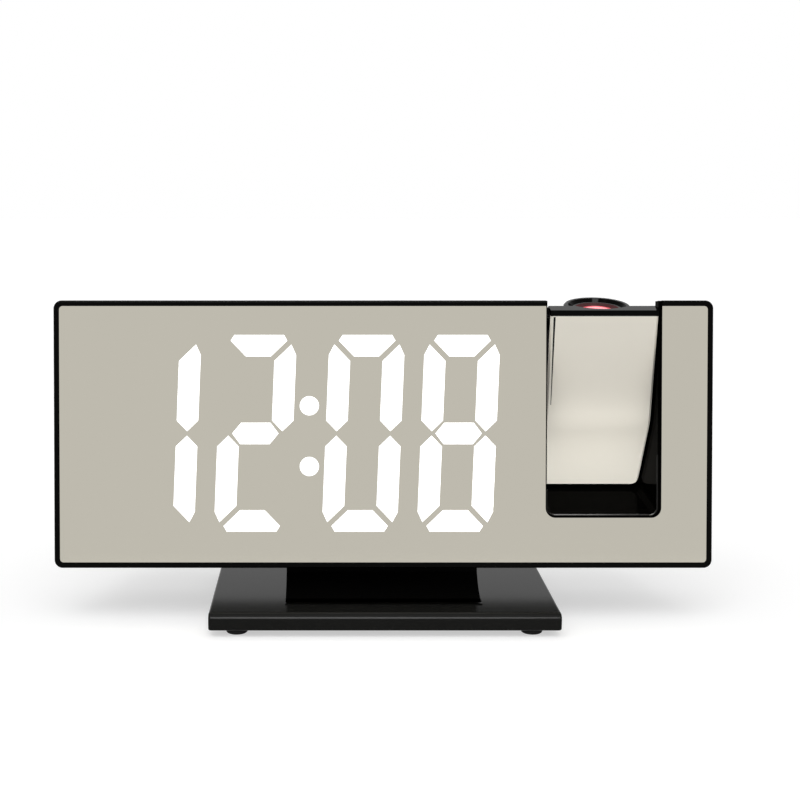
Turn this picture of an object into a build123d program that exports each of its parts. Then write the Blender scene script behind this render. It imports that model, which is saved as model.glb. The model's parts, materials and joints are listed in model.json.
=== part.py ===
from build123d import *
import math
import os

# Projection alarm clock, sizes in millimetres, +Z up, the face looks towards -Y.

# Body
LEAN = 7.7
FRAME_DEPTH = 6.0
FRAME_RIM = 1.5
FRAME_CORNER = 2.3
FRAME_EDGE = 0.5
FRAME_FLANGE = 5.5
WEB_THICKNESS = 1.8
PANEL_THICKNESS = 2.0
PANEL_RECESS = 0.2
PANEL_CORNER = 1.0
PANEL_CLEARANCE = 0.1

# Rear housing
REAR_INSET = 3.5
REAR_SIDE_TAPER = 3.0
REAR_TOP_TAPER = 3.5
REAR_BOTTOM_TAPER = 3.5
REAR_WALL = 1.8
REAR_CORNER = 4.0
REAR_EDGE = 2.0

# Slot in the panel and the bay behind it
SLOT_RIGHT_MARGIN = 14.35
SLOT_WIDTH = 32.6
FINGER_GAP = 5.8
SLOT_CORNER = 2.8
BAY_LIP = 0.65
BAY_WALL = 1.6
BAY_TAIL_CLEARANCE = 1.8
BAY_REAR_GAP = 0.4
BAY_FLOOR_SLOPE = 14.0
BAY_FLOOR_THICKNESS = 2.2
BAY_CORNER = 2.0
BAY_SILL = 56.0
BAY_FIT = 0.1
BAY_EAR = 3.8
BAY_TAB_WIDTH = 5.5
BAY_TAB_HEIGHT = 6.0
BAY_TAB_THICKNESS = 2.0
BAY_TAB_RISE = 21.0

# Projector head, measured from its pivot
PIVOT_Y = 11.8
PIVOT_DROP = 4.8
HEAD_TILT = 17.0
HEAD_SIDE_CLEARANCE = 0.5
HEAD_TOP = 5.6
HEAD_FLAT = 33.5
HEAD_BEND = 23.5
HEAD_CURVE = 14.0
HEAD_TAIL = 24.75
HEAD_PLATE = 5.0
HEAD_TAIL_PLATE = 3.6
HEAD_CORNER = 2.4
HEAD_TOP_RIM = 1.7
HEAD_MIRROR = 0.8
HEAD_MIRROR_BEVEL = 0.6
HEAD_FAIRING_WIDTH = 14.0
HEAD_FAIRING_TOP = 22.0
HEAD_FAIRING_END = 21.8
HEAD_FAIRING_SINK = 1.0
HEAD_PIVOT_BOSS = 3.4
TUBE_RADIUS = 9.3
TUBE_BORE = 8.2
TUBE_TOP = 1.0
TUBE_BOTTOM = -25.0
TUBE_FLOOR = 1.5
LEAD_HOLE = 1.2
PIN_RADIUS = 1.6
PIN_BORE = 0.8
PIN_START = 10.8
PIN_RUNNING_CLEARANCE = 0.06

# Optics inside the head
RING_RADIUS = 9.6
RING_TOP = 4.1
RING_GAP = 0.1
RING_CHAMFER = 0.4
RING_FLARE = 1.1
RING_POCKET_CLEARANCE = 0.3
RING_BORE = 7.2
RING_SKIRT = 8.1
RING_SKIRT_END = -6.0
CARRIER_CLEARANCE = 0.06
CARRIER_BORE = 5.6
CARRIER_TOP = 3.2
CARRIER_LENGTH = 6.0
LENS_RADIUS = 6.4
LENS_SEAT = 0.4
LENS_EDGE = 1.6
LENS_CROWN = 1.4
OPTIC_FIT = 0.05
LAMP_BOARD = 1.5
SPACER_WALL = 0.9
LOWER_SPACER = 3.5
CONDENSER_RIM = 1.5
CONDENSER_CROWN = 1.6
UPPER_SPACER = 3.6
SLIDE_THICKNESS = 1.2
RETAINER = 1.0
LAMP_RADIUS = 2.2
LAMP_HEIGHT = 2.8

# Display
DIGIT_PITCH = 26.8
COLON_SPACE = 3.6
DISPLAY_LEFT_MARGIN = 15.8
DISPLAY_RIGHT_MARGIN = 10.45
DISPLAY_TOP_MARGIN = 9.7
DISPLAY_BOTTOM_MARGIN = 10.3
DIGIT_WIDTH = 21.2
DIGIT_HEIGHT = 55.4
STROKE = 6.05
SEGMENT_GAP = 0.62
SEGMENT_TRIM = 2.0
BAR_TRIM = 1.6
SEGMENT_SHOULDER = 5.6
SLANT = 2.3
COLON_RISE = 8.55
COLON_DROP = 0.75
COLON_RADIUS = 2.7
SHOWN_DIGITS = ("bc", "abged", "abcdef", "abcdefg")
BLOCK_MARGIN = 2.4
BLOCK_FRONT_GAP = 0.2
BLOCK_DEPTH = 9.1
WINDOW_LEDGE = 1.2
WINDOW_FIT = 0.1
CELL_FIT = 0.05
SEGMENT_CHIP_GAP = 0.2
DISPLAY_BOARD = 1.6
CHIP_WIDTH = 2.8
CHIP_HEIGHT = 1.6
CHIP_DEPTH = 1.0

# Control board and what stands on it
BOARD_SPACE = 6.6
BOARD_THICKNESS = 1.6
BOARD_WIDTH = 97.0
BOARD_RIGHT = 31.0
BOARD_DROP = 46.0
BOARD_CUP_CLEARANCE = 2.4
BOARD_SCREW_INSET = 3.0
STANDOFF_RADIUS = 2.2
BUTTON_PITCH = 14.0
BUTTON_LEFT_INSET = 10.0
BUTTON_NAMES = ("set", "alarm", "hour", "minute", "projector")
BUTTON_DROP = 6.9
BUTTON_WIDTH = 8.0
BUTTON_HEIGHT = 4.4
BUTTON_CORNER = 1.6
BUTTON_PROUD = 1.2
BUTTON_DOME = 0.5
BUTTON_CLEARANCE = 0.2
BUTTON_FLANGE = 1.0
BUTTON_FLANGE_RIM = 0.9
BUTTON_TRAVEL = 0.6
SWITCH_SIZE = 6.0
SWITCH_HEIGHT = 3.5
PLUNGER_RADIUS = 1.7
PLUNGER_HEIGHT = 0.8
SEAT_GAP = 0.1
BUZZER_LEFT_INSET = 18.0
BUZZER_RISE = 15.5
BUZZER_RADIUS = 6.0
BUZZER_HEIGHT = 5.8
SOUND_HOLE = 0.8
SOUND_RING = 3.0
SOUND_COUNT = 6
INLET_RIGHT_INSET = 15.0
INLET_RISE = 11.5
INLET_BACK = 1.0
INLET_WIDTH = 9.0
INLET_HEIGHT = 3.2
INLET_WALL = 0.3
INLET_CORNER = 1.5
INLET_SET_BACK = 0.8
INLET_TONGUE_WIDTH = 6.7
INLET_TONGUE_HEIGHT = 0.7
INLET_TONGUE_LENGTH = 5.0
INLET_CLEARANCE = 0.3

# Snooze bar, lying in the sloping top of the housing
SNOOZE_X = -20.0
SNOOZE_BACK_INSET = 12.0
SNOOZE_LENGTH = 62.0
SNOOZE_WIDTH = 9.0
SNOOZE_CORNER = 2.0
SNOOZE_PROUD = 1.3
SNOOZE_EDGE = 0.6
SNOOZE_FLANGE = 1.2
SNOOZE_FLANGE_RIM = 1.0
SNOOZE_TRAVEL = 0.8
SNOOZE_LEG_RADIUS = 1.5
SNOOZE_SWITCH_WIDTH = 6.0
SNOOZE_SWITCH_DEPTH = 5.5
SNOOZE_SWITCH_HEIGHT = 3.5
SNOOZE_LEG = 0.76

# Coin cell and its door
CELL_X = -44.0
CELL_RISE = 31.0
CELL_RADIUS = 10.0
CELL_THICKNESS = 3.2
CELL_CLEARANCE = 0.2
CONTACT_SHEET = 0.3
CONTACT_WIDTH = 4.0
CUP_RADIUS = 16.0
CUP_FLOOR = 1.4
DOOR_RADIUS = 12.5
DOOR_THICKNESS = 2.0
DOOR_CLEARANCE = 0.2
DOOR_SKIRT = 1.6
DOOR_SKIRT_WALL = 1.5
DOOR_LUG = 1.4
DOOR_LUG_HEIGHT = 1.2
DOOR_LUG_ANGLE = 36.0
DOOR_LUG_CLEARANCE = 0.3
DOOR_NOTCH_EXTRA = 6.0
DOOR_TURN = 45.0
DOOR_PAD_RADIUS = 4.0
COIN_SLOT_LENGTH = 11.0
COIN_SLOT_WIDTH = 1.8
COIN_SLOT_DEPTH = 0.9

# Screws
SCREW_RADIUS = 0.95
SCREW_HEAD = 1.9
SCREW_HEAD_HEIGHT = 1.3
SCREW_FIT = 0.15
SCREW_THREAD_FIT = 0.02
SCREW_TIP_GAP = 0.4
CROSS_WIDTH = 0.5
CROSS_LENGTH = 2.2
CROSS_DEPTH = 0.7
SCREW_SIDE_INSET = 12.0
SCREW_LOW = 16.0
SCREW_RIGHT_LOW = 20.0
SCREW_HIGH_INSET = 18.4
SCREW_BAY_GAP = 3.2
SCREW_SIDE_GAP = 0.35
POST_RADIUS = 2.3
POST_LENGTH = 9.9
POST_HOLE = 6.0
POST_FACE_GAP = 0.1
BAY_SCREW_LENGTH = 3.4

# Stand
BASE_WIDTH = 96.6
BASE_DEPTH = 62.0
BASE_HEIGHT = 4.8
BASE_EDGE = 2.0
BASE_UNDER_EDGE = 0.8
BASE_END_EDGE = 0.6
FOOT_RADIUS = 3.0
FOOT_HEIGHT = 1.8
FOOT_RECESS = 0.5
FOOT_EDGE = 0.6
FOOT_FIT = 0.1
FOOT_SIDE_INSET = 7.6
FOOT_END_INSET = 5.0
BODY_FORWARD = 16.0
BODY_LIFT = 8.7
BALLAST_WIDTH = 66.0
BALLAST_DEPTH = 42.0
BALLAST_HEIGHT = 1.8
BALLAST_FIT = 0.2
BALLAST_Y = 3.0
NECK_WIDTH = 55.0
NECK_SET_BACK = 9.5
NECK_DEPTH = 14.5
NECK_RISE = 13.4
NECK_RAMP = 15.5
NECK_RAMP_EDGE = 0.3
NECK_RAMP_HEIGHT = 5.0
NECK_RAMP_SAG = 0.22
TONGUE_WIDTH = 44.0
TONGUE_DISPLAY_GAP = 1.6
TONGUE_THICKNESS = 5.2
TONGUE_TOP = 15.0
TONGUE_FIT = 0.15
NECK_SCREW_XS = (-14.0, 14.0)
NECK_SCREW_Z = 11.8
NECK_SCREW_DEPTH = 4.0
NECK_BOSS = 2.8
BASE_SCREW_XS = (-18.0, 18.0)
BASE_SCREW_SET_BACK = 7.0
BASE_SCREW_RADIUS = 1.2
BASE_SCREW_HEAD = 2.4
BASE_SCREW_HEAD_HEIGHT = 1.1
BASE_SCREW_DEPTH = 6.0

# Derived levels and places
PAST = 1.0
FAR = 200.0
NEAR = 0.01
CROWN_SHARE = 0.75
SHEAR = math.tan(math.radians(SLANT)) * DIGIT_HEIGHT / 2
BLOCK_REACH = DIGIT_WIDTH / 2 + SHEAR + BLOCK_MARGIN
BLOCK_WIDTH = 3 * DIGIT_PITCH + COLON_SPACE + 2 * BLOCK_REACH
BODY_WIDTH = DISPLAY_LEFT_MARGIN + BLOCK_WIDTH + DISPLAY_RIGHT_MARGIN + SLOT_WIDTH + SLOT_RIGHT_MARGIN
BODY_HEIGHT = DISPLAY_BOTTOM_MARGIN + DIGIT_HEIGHT + DISPLAY_TOP_MARGIN
SLOT_X = BODY_WIDTH / 2 - SLOT_RIGHT_MARGIN - SLOT_WIDTH / 2
PIVOT_Z = BODY_HEIGHT - PIVOT_DROP
PANEL_BACK = PANEL_RECESS + PANEL_THICKNESS
SEAT_Y = PANEL_BACK + PANEL_CLEARANCE
WEB_BACK = SEAT_Y + WEB_THICKNESS
HEAD_FACE = PANEL_RECESS - PIVOT_Y
HEAD_BOTTOM = HEAD_TOP - HEAD_FLAT - HEAD_TAIL * math.cos(math.radians(HEAD_BEND))
SLOT_BOTTOM = PIVOT_Z + HEAD_BOTTOM - FINGER_GAP
BAY_WIDTH = SLOT_WIDTH - 2 * BAY_LIP
BAY_OUTER = BAY_WIDTH + 2 * BAY_WALL
BAY_FLOOR = SLOT_BOTTOM + BAY_LIP
BAY_BOTTOM = BAY_FLOOR - BAY_FLOOR_THICKNESS
HEAD_WIDTH = BAY_WIDTH - 2 * HEAD_SIDE_CLEARANCE


def tail_point(along, inward):
    """Point of the head's side profile below the bend."""
    turn = math.radians(HEAD_BEND)
    bend_z = HEAD_TOP - HEAD_FLAT
    y = HEAD_FACE + along * math.sin(turn) + inward * math.cos(turn)
    z = bend_z - along * math.cos(turn) + inward * math.sin(turn)
    return (y, z)


def depth_at_rest(y, z):
    """Depth behind the face that a point of the head reaches at rest."""
    turn = math.radians(HEAD_TILT)
    return PIVOT_Y + y * math.cos(turn) - z * math.sin(turn)


TAIL_DEPTH = depth_at_rest(*tail_point(HEAD_TAIL, HEAD_TAIL_PLATE))
BARREL_DEPTH = depth_at_rest(TUBE_RADIUS, TUBE_BOTTOM)
BAY_DEPTH = max(TAIL_DEPTH, BARREL_DEPTH) + BAY_TAIL_CLEARANCE
BAY_BACK = BAY_DEPTH + BAY_WALL
REAR_INNER = BAY_BACK + BAY_REAR_GAP
BODY_DEPTH = REAR_INNER + REAR_WALL
TOP_SLOPE = math.degrees(math.atan(REAR_TOP_TAPER / (BODY_DEPTH - FRAME_DEPTH)))
SNOOZE_Y = BODY_DEPTH - SNOOZE_BACK_INSET
SNOOZE_FLANGE_TOP = -REAR_WALL - SEAT_GAP
SNOOZE_FLANGE_BOTTOM = SNOOZE_FLANGE_TOP - SNOOZE_FLANGE
BOARD_BACK = REAR_INNER - BOARD_SPACE
BOARD_FRONT = BOARD_BACK - BOARD_THICKNESS
BOARD_LEFT = BOARD_RIGHT - BOARD_WIDTH
SWITCH_TOP = BOARD_BACK + SWITCH_HEIGHT + PLUNGER_HEIGHT
BLOCK_BACK = WEB_BACK + BLOCK_DEPTH
BLOCK_LEFT = DISPLAY_LEFT_MARGIN - BODY_WIDTH / 2
DIGIT_Z = DISPLAY_BOTTOM_MARGIN + DIGIT_HEIGHT / 2
FIRST_DIGIT = BLOCK_LEFT + BLOCK_REACH
LATER_HALF = FIRST_DIGIT + COLON_SPACE + 2 * DIGIT_PITCH
DIGIT_CENTRES = (FIRST_DIGIT, FIRST_DIGIT + DIGIT_PITCH, LATER_HALF, LATER_HALF + DIGIT_PITCH)
COLON_X = (DIGIT_CENTRES[1] + DIGIT_CENTRES[2]) / 2
COLON_MIDDLE = DIGIT_Z - COLON_DROP
COLON_Z = (COLON_MIDDLE + COLON_RISE, COLON_MIDDLE - COLON_RISE)
POST_END = WEB_BACK + POST_LENGTH
POST_BOTTOM = POST_END - POST_HOLE
TONGUE_FRONT = BLOCK_BACK + DISPLAY_BOARD + TONGUE_DISPLAY_GAP
TONGUE_BACK = TONGUE_FRONT + TONGUE_THICKNESS
BASE_TOP = FOOT_HEIGHT + BASE_HEIGHT
BODY_Y = -BODY_FORWARD
BODY_Z = BASE_TOP + BODY_LIFT
NECK_FRONT = BODY_Y + NECK_SET_BACK
NECK_BACK = NECK_FRONT + NECK_DEPTH
NECK_TOP = BASE_TOP + NECK_RISE
BASE_SCREW_Y = NECK_FRONT + BASE_SCREW_SET_BACK
BODY_PLACE = Pos(0, BODY_Y, BODY_Z) * Rot(-LEAN, 0, 0)
HEAD_PLACE = BODY_PLACE * Pos(SLOT_X, PIVOT_Y, PIVOT_Z) * Rot(HEAD_TILT, 0, 0)


def taper_share(depth):
    """Part of the housing's taper reached at a depth."""
    return (depth - FRAME_DEPTH) / (BODY_DEPTH - FRAME_DEPTH)


def housing_top(depth):
    """Height of the housing's top face at a depth."""
    return BODY_HEIGHT - REAR_INSET - REAR_TOP_TAPER * taper_share(depth)


SNOOZE_Z = housing_top(SNOOZE_Y)
SNOOZE_LEG_BOTTOM = SNOOZE_Z + SNOOZE_FLANGE_BOTTOM - SNOOZE_LEG
SNOOZE_SWITCH_TOP = SNOOZE_LEG_BOTTOM - SEAT_GAP - SNOOZE_TRAVEL - PLUNGER_HEIGHT
BOARD_TOP = SNOOZE_SWITCH_TOP
BOARD_BOTTOM = BOARD_TOP - BOARD_DROP
BOARD_STEP_X = CELL_X + CUP_RADIUS + BOARD_CUP_CLEARANCE
BOARD_STEP_Z = CELL_RISE + CUP_RADIUS + BOARD_CUP_CLEARANCE
BUTTON_Z = BOARD_TOP - BUTTON_DROP
BUTTON_XS = [BOARD_LEFT + BUTTON_LEFT_INSET + BUTTON_PITCH * index for index in range(len(BUTTON_NAMES))]
BUZZER_X = BOARD_STEP_X + BUZZER_LEFT_INSET
BUZZER_Z = BOARD_BOTTOM + BUZZER_RISE
INLET_X = BOARD_RIGHT - INLET_RIGHT_INSET
INLET_Z = BOARD_BOTTOM + INLET_RISE
SCREW_HIGH = BODY_HEIGHT - SCREW_HIGH_INSET
SCREW_LEFT = SCREW_SIDE_INSET - BODY_WIDTH / 2
SCREW_MIDDLE = SLOT_X - BAY_OUTER / 2 - SCREW_BAY_GAP - POST_RADIUS
SCREW_RIGHT = SLOT_X + BAY_OUTER / 2 + SCREW_SIDE_GAP + POST_RADIUS
BOARD_SCREWS = (
    (BOARD_LEFT + BOARD_SCREW_INSET, BOARD_STEP_Z + BOARD_SCREW_INSET),
    (BOARD_RIGHT - BOARD_SCREW_INSET, BOARD_TOP - BOARD_SCREW_INSET),
    (BOARD_RIGHT - BOARD_SCREW_INSET, BOARD_BOTTOM + BOARD_SCREW_INSET),
    (BOARD_STEP_X + BOARD_SCREW_INSET, BOARD_BOTTOM + BOARD_SCREW_INSET),
)
HOUSING_SCREWS = (
    (SCREW_LEFT, SCREW_LOW),
    (SCREW_LEFT, SCREW_HIGH),
    (SCREW_MIDDLE, SCREW_LOW),
    (SCREW_MIDDLE, SCREW_HIGH),
    (SCREW_RIGHT, SCREW_RIGHT_LOW),
)


def slab(sketch, front, back):
    """Solid of an outline in the face plane between two depths."""
    return extrude(Plane.XZ.offset(-back) * sketch, amount=back - front, dir=(0, -1, 0))


def ribbon(points, width):
    """Solid of a side profile, centred across the width."""
    outline = Plane.YZ * Polygon(*points, align=None)
    return extrude(outline, amount=width / 2, both=True)


def block(x_range, y_range, z_range):
    """Box between three pairs of limits."""
    sizes = [high - low for low, high in (x_range, y_range, z_range)]
    middles = [(high + low) / 2 for low, high in (x_range, y_range, z_range)]
    return Pos(*middles) * Box(*sizes)


def rod(x, z, radius, front, back):
    """Cylinder that runs straight back from the face."""
    return slab(Pos(x, z) * Circle(radius), front, back)


def plug(radius, bottom, top):
    """Upright cylinder on the Z axis."""
    return Pos(0, 0, (bottom + top) / 2) * Cylinder(radius, top - bottom)


def tube(radius, bore, bottom, top):
    """Upright sleeve on the Z axis."""
    return plug(radius, bottom, top) - plug(bore, bottom, top)


def face_outline(margin, corner):
    """Body outline drawn in by a margin."""
    width = BODY_WIDTH - 2 * margin
    height = BODY_HEIGHT - 2 * margin
    return Pos(0, BODY_HEIGHT / 2) * RectangleRounded(width, height, corner)


def housing_section(depth, shrink):
    """Outline of the rear housing at a depth."""
    share = taper_share(depth)
    side = REAR_INSET + shrink + REAR_SIDE_TAPER * share
    low = REAR_INSET + shrink + REAR_BOTTOM_TAPER * share
    high = BODY_HEIGHT - REAR_INSET - shrink - REAR_TOP_TAPER * share
    outline = RectangleRounded(BODY_WIDTH - 2 * side, high - low, REAR_CORNER)
    return Plane.XZ.offset(-depth) * Pos(0, (low + high) / 2) * outline


def housing_blank():
    """Outer form of the rear housing."""
    sections = [housing_section(FRAME_DEPTH, 0), housing_section(BODY_DEPTH, 0)]
    form = loft(sections, ruled=True)
    return fillet(form.faces().sort_by(Axis.Y)[-1].edges(), REAR_EDGE)


def housing_hollow():
    """Space inside the rear housing."""
    sections = [housing_section(FRAME_DEPTH, REAR_WALL), housing_section(REAR_INNER, REAR_WALL)]
    return loft(sections, ruled=True)


def slot_outline():
    """Outline of the panel slot, running out at the top."""
    outline = RectangleRounded(SLOT_WIDTH, BODY_HEIGHT, SLOT_CORNER)
    return Pos(SLOT_X, SLOT_BOTTOM + BODY_HEIGHT / 2) * outline


def bay_tabs():
    """Centres of the two screw tabs beside the bay."""
    reach = BAY_OUTER / 2 + BAY_TAB_WIDTH / 2
    height = BAY_FLOOR + BAY_TAB_RISE
    return [(SLOT_X - reach, height), (SLOT_X + reach, height)]


def make_front_frame():
    """Front moulding: rim, web behind the panel, flange and screw posts."""
    frame = slab(face_outline(0, FRAME_CORNER), 0, FRAME_DEPTH)
    frame = fillet(frame.faces().sort_by(Axis.Y)[0].edges(), FRAME_EDGE)
    frame -= slab(face_outline(FRAME_RIM, PANEL_CORNER), -PAST, SEAT_Y)
    frame -= slab(face_outline(FRAME_FLANGE, FRAME_CORNER), WEB_BACK, FRAME_DEPTH + PAST)
    frame -= slab(block_outline(-WINDOW_LEDGE), SEAT_Y - PAST, WEB_BACK + PAST)
    for x, z in HOUSING_SCREWS:
        frame += rod(x, z, POST_RADIUS, SEAT_Y, POST_END)
        frame -= rod(x, z, SCREW_RADIUS + SCREW_THREAD_FIT, POST_BOTTOM, POST_END + PAST)
    for x, z in bay_tabs():
        tip = WEB_BACK + BAY_TAB_THICKNESS - BAY_SCREW_LENGTH
        frame -= rod(x, z, SCREW_RADIUS + SCREW_THREAD_FIT, tip - POST_FACE_GAP, WEB_BACK + PAST)
    half = BAY_OUTER / 2 + BAY_FIT
    sides = (SLOT_X - half, SLOT_X + half)
    frame -= block(sides, (SEAT_Y, FAR), (BAY_BOTTOM - BAY_FIT, FAR))
    half = SLOT_WIDTH / 2
    frame -= block((SLOT_X - half, SLOT_X + half), (-PAST, SEAT_Y + PAST), (BODY_HEIGHT / 2, FAR))
    return frame


def make_mirror_panel():
    """Half-mirror front panel with the slot for the head."""
    panel = slab(face_outline(FRAME_RIM + PANEL_CLEARANCE, PANEL_CORNER), PANEL_RECESS, PANEL_BACK)
    return panel - slab(slot_outline(), -PAST, SEAT_Y)


def bay_pocket():
    """Hollow of the bay: sloping floor, rounded where floor, sides and back meet."""
    front = SEAT_Y - PAST
    rise = math.tan(math.radians(BAY_FLOOR_SLOPE))
    points = (
        (front, BAY_FLOOR + rise * (front - SEAT_Y)),
        (BAY_DEPTH, BAY_FLOOR + rise * (BAY_DEPTH - SEAT_Y)),
        (BAY_DEPTH, FAR),
        (front, FAR),
    )
    hollow = ribbon(points, BAY_WIDTH)
    inner = [e for e in hollow.edges() if e.center().Y > front + NEAR and e.center().Z < FAR - NEAR]
    return Pos(SLOT_X, 0, 0) * fillet(inner, BAY_CORNER)


def make_projector_bay():
    """Pocket behind the slot, with ears for the pivot pins and tabs for its screws."""
    half = BAY_OUTER / 2
    sides = (SLOT_X - half, SLOT_X + half)
    bay = block(sides, (SEAT_Y, BAY_BACK), (BAY_BOTTOM, BAY_SILL))
    upper = housing_blank() & block(sides, (FRAME_DEPTH, FAR), (BAY_SILL - BAY_WALL, FAR))
    bay += upper
    bay += block(sides, (SEAT_Y, FRAME_DEPTH), (BAY_SILL, BODY_HEIGHT))
    ear = Plane.YZ.offset(sides[0]) * Pos(PIVOT_Y, PIVOT_Z) * Circle(BAY_EAR)
    bay += extrude(ear, amount=BAY_OUTER)
    bay -= bay_pocket()
    bay -= block((SLOT_X - BAY_WIDTH / 2, SLOT_X + BAY_WIDTH / 2), (BAY_DEPTH - PAST, FAR), (BAY_SILL, FAR))
    hole = Pos(PIVOT_Y, PIVOT_Z) * Circle(PIN_RADIUS + PIN_RUNNING_CLEARANCE)
    bay -= extrude(Plane.YZ.offset(sides[0] - PAST) * hole, amount=BAY_OUTER + 2 * PAST)
    tab_back = WEB_BACK + BAY_TAB_THICKNESS
    for x, z in bay_tabs():
        tab = Pos(x, z) * Rectangle(BAY_TAB_WIDTH, BAY_TAB_HEIGHT)
        bay += slab(tab, WEB_BACK, tab_back)
        bay -= rod(x, z, SCREW_RADIUS + SCREW_FIT, WEB_BACK - PAST, tab_back + PAST)
    return bay


def snooze_place():
    """Frame of the snooze bar: on the housing's top face, turned with its slope."""
    return Pos(SNOOZE_X, SNOOZE_Y, SNOOZE_Z) * Rot(-TOP_SLOPE, 0, 0)


def snooze_blank(margin, bottom, top):
    """Upright solid of the snooze outline grown by a margin."""
    outline = RectangleRounded(SNOOZE_LENGTH + 2 * margin, SNOOZE_WIDTH + 2 * margin, SNOOZE_CORNER)
    return extrude(Pos(0, 0, bottom) * outline, amount=top - bottom)


def lug_sector(radius, angle, turn):
    """Flat sector pair on opposite sides of a round door, turned from the X axis."""
    reach = radius / math.cos(math.radians(angle / 2))
    half = math.radians(angle / 2)
    tip = (reach * math.cos(half), reach * math.sin(half))
    wedge = Polygon((0, 0), tip, (tip[0], -tip[1]), align=None)
    pair = wedge + Rot(0, 0, 180) * wedge
    return (Rot(0, 0, turn) * pair) & Circle(radius)


def make_rear_housing():
    """Rear shell with screw bosses, cell cup, button holes, sound holes and socket opening."""
    blank = housing_blank()
    housing = blank - housing_hollow()
    inside = Part()
    for x, z in HOUSING_SCREWS:
        inside += rod(x, z, POST_RADIUS, POST_END + POST_FACE_GAP, REAR_INNER + PAST)
    for x, z in BOARD_SCREWS:
        inside += rod(x, z, STANDOFF_RADIUS, BOARD_BACK, REAR_INNER + PAST)
    for x in NECK_SCREW_XS:
        inside += rod(x, NECK_SCREW_Z, NECK_BOSS, TONGUE_BACK + TONGUE_FIT, REAR_INNER + PAST)
    cup_back = cell_level() - CUP_FLOOR
    inside += rod(CELL_X, CELL_RISE, CUP_RADIUS, cup_back, REAR_INNER + PAST)
    housing += inside & blank
    for x, z in HOUSING_SCREWS:
        housing -= screw_hole(x, z, POST_END)
    for x in NECK_SCREW_XS:
        housing -= screw_hole(x, NECK_SCREW_Z, TONGUE_BACK)
    for x, z in BOARD_SCREWS:
        housing -= rod(x, z, SCREW_RADIUS + SCREW_THREAD_FIT, BOARD_BACK - PAST, REAR_INNER)
    housing -= cell_cup_hollow()
    for x in BUTTON_XS:
        hole = RectangleRounded(
            BUTTON_WIDTH + 2 * BUTTON_CLEARANCE, BUTTON_HEIGHT + 2 * BUTTON_CLEARANCE, BUTTON_CORNER
        )
        housing -= slab(Pos(x, BUTTON_Z) * hole, REAR_INNER - PAST, BODY_DEPTH + PAST)
    housing -= rod(BUZZER_X, BUZZER_Z, SOUND_HOLE, REAR_INNER - PAST, BODY_DEPTH + PAST)
    for index in range(SOUND_COUNT):
        turn = 2 * math.pi * index / SOUND_COUNT
        x = BUZZER_X + SOUND_RING * math.cos(turn)
        z = BUZZER_Z + SOUND_RING * math.sin(turn)
        housing -= rod(x, z, SOUND_HOLE, REAR_INNER - PAST, BODY_DEPTH + PAST)
    opening = RectangleRounded(
        INLET_WIDTH + 2 * INLET_CLEARANCE, INLET_HEIGHT + 2 * INLET_CLEARANCE, INLET_CORNER
    )
    housing -= slab(Pos(INLET_X, INLET_Z) * opening, REAR_INNER - PAST, BODY_DEPTH + PAST)
    housing -= snooze_place() * snooze_blank(BUTTON_CLEARANCE, -2 * REAR_WALL, SNOOZE_PROUD)
    half = TONGUE_WIDTH / 2 + TONGUE_FIT
    tongue = (TONGUE_FRONT - TONGUE_FIT, TONGUE_BACK + TONGUE_FIT)
    housing -= block((-half, half), tongue, (0, TONGUE_TOP))
    half = BAY_OUTER / 2 + BAY_FIT
    notch_floor = BAY_SILL - BAY_WALL - BAY_FIT
    housing -= block((SLOT_X - half, SLOT_X + half), (FRAME_DEPTH - PAST, FAR), (notch_floor, FAR))
    return housing


def screw_hole(x, z, front):
    """Clearance hole and head recess of a screw driven from the back."""
    hole = rod(x, z, SCREW_RADIUS + SCREW_FIT, front - PAST, BODY_DEPTH + PAST)
    seat = BODY_DEPTH - SCREW_HEAD_HEIGHT - SCREW_FIT
    return hole + rod(x, z, SCREW_HEAD + SCREW_FIT, seat, BODY_DEPTH + PAST)


def cell_level():
    """Depth of the cup floor under the cell contact."""
    pad = BODY_DEPTH - DOOR_THICKNESS - DOOR_SKIRT
    return pad - CELL_THICKNESS - CONTACT_SHEET


def cell_cup_hollow():
    """Everything cut out of the cell cup: pocket, door bore, lug groove and entry notches."""
    skirt_end = BODY_DEPTH - DOOR_THICKNESS - DOOR_SKIRT
    hollow = rod(CELL_X, CELL_RISE, CELL_RADIUS + CELL_CLEARANCE, cell_level(), skirt_end)
    hollow += rod(CELL_X, CELL_RISE, DOOR_RADIUS + DOOR_CLEARANCE, skirt_end - SEAT_GAP, BODY_DEPTH + PAST)
    groove = DOOR_RADIUS + DOOR_LUG + DOOR_LUG_CLEARANCE
    groove_back = skirt_end + DOOR_LUG_HEIGHT + SEAT_GAP
    hollow += rod(CELL_X, CELL_RISE, groove, skirt_end - SEAT_GAP, groove_back)
    notch = lug_sector(groove - OPTIC_FIT, DOOR_LUG_ANGLE + DOOR_NOTCH_EXTRA, -DOOR_TURN)
    hollow += slab(Pos(CELL_X, CELL_RISE) * notch, skirt_end, BODY_DEPTH + PAST)
    reach = CELL_X + CELL_RADIUS + CONTACT_SHEET
    half = CONTACT_WIDTH / 2 + OPTIC_FIT
    hollow += block((CELL_X, reach), (cell_level(), skirt_end), (CELL_RISE - half, CELL_RISE + half))
    return hollow


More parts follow.
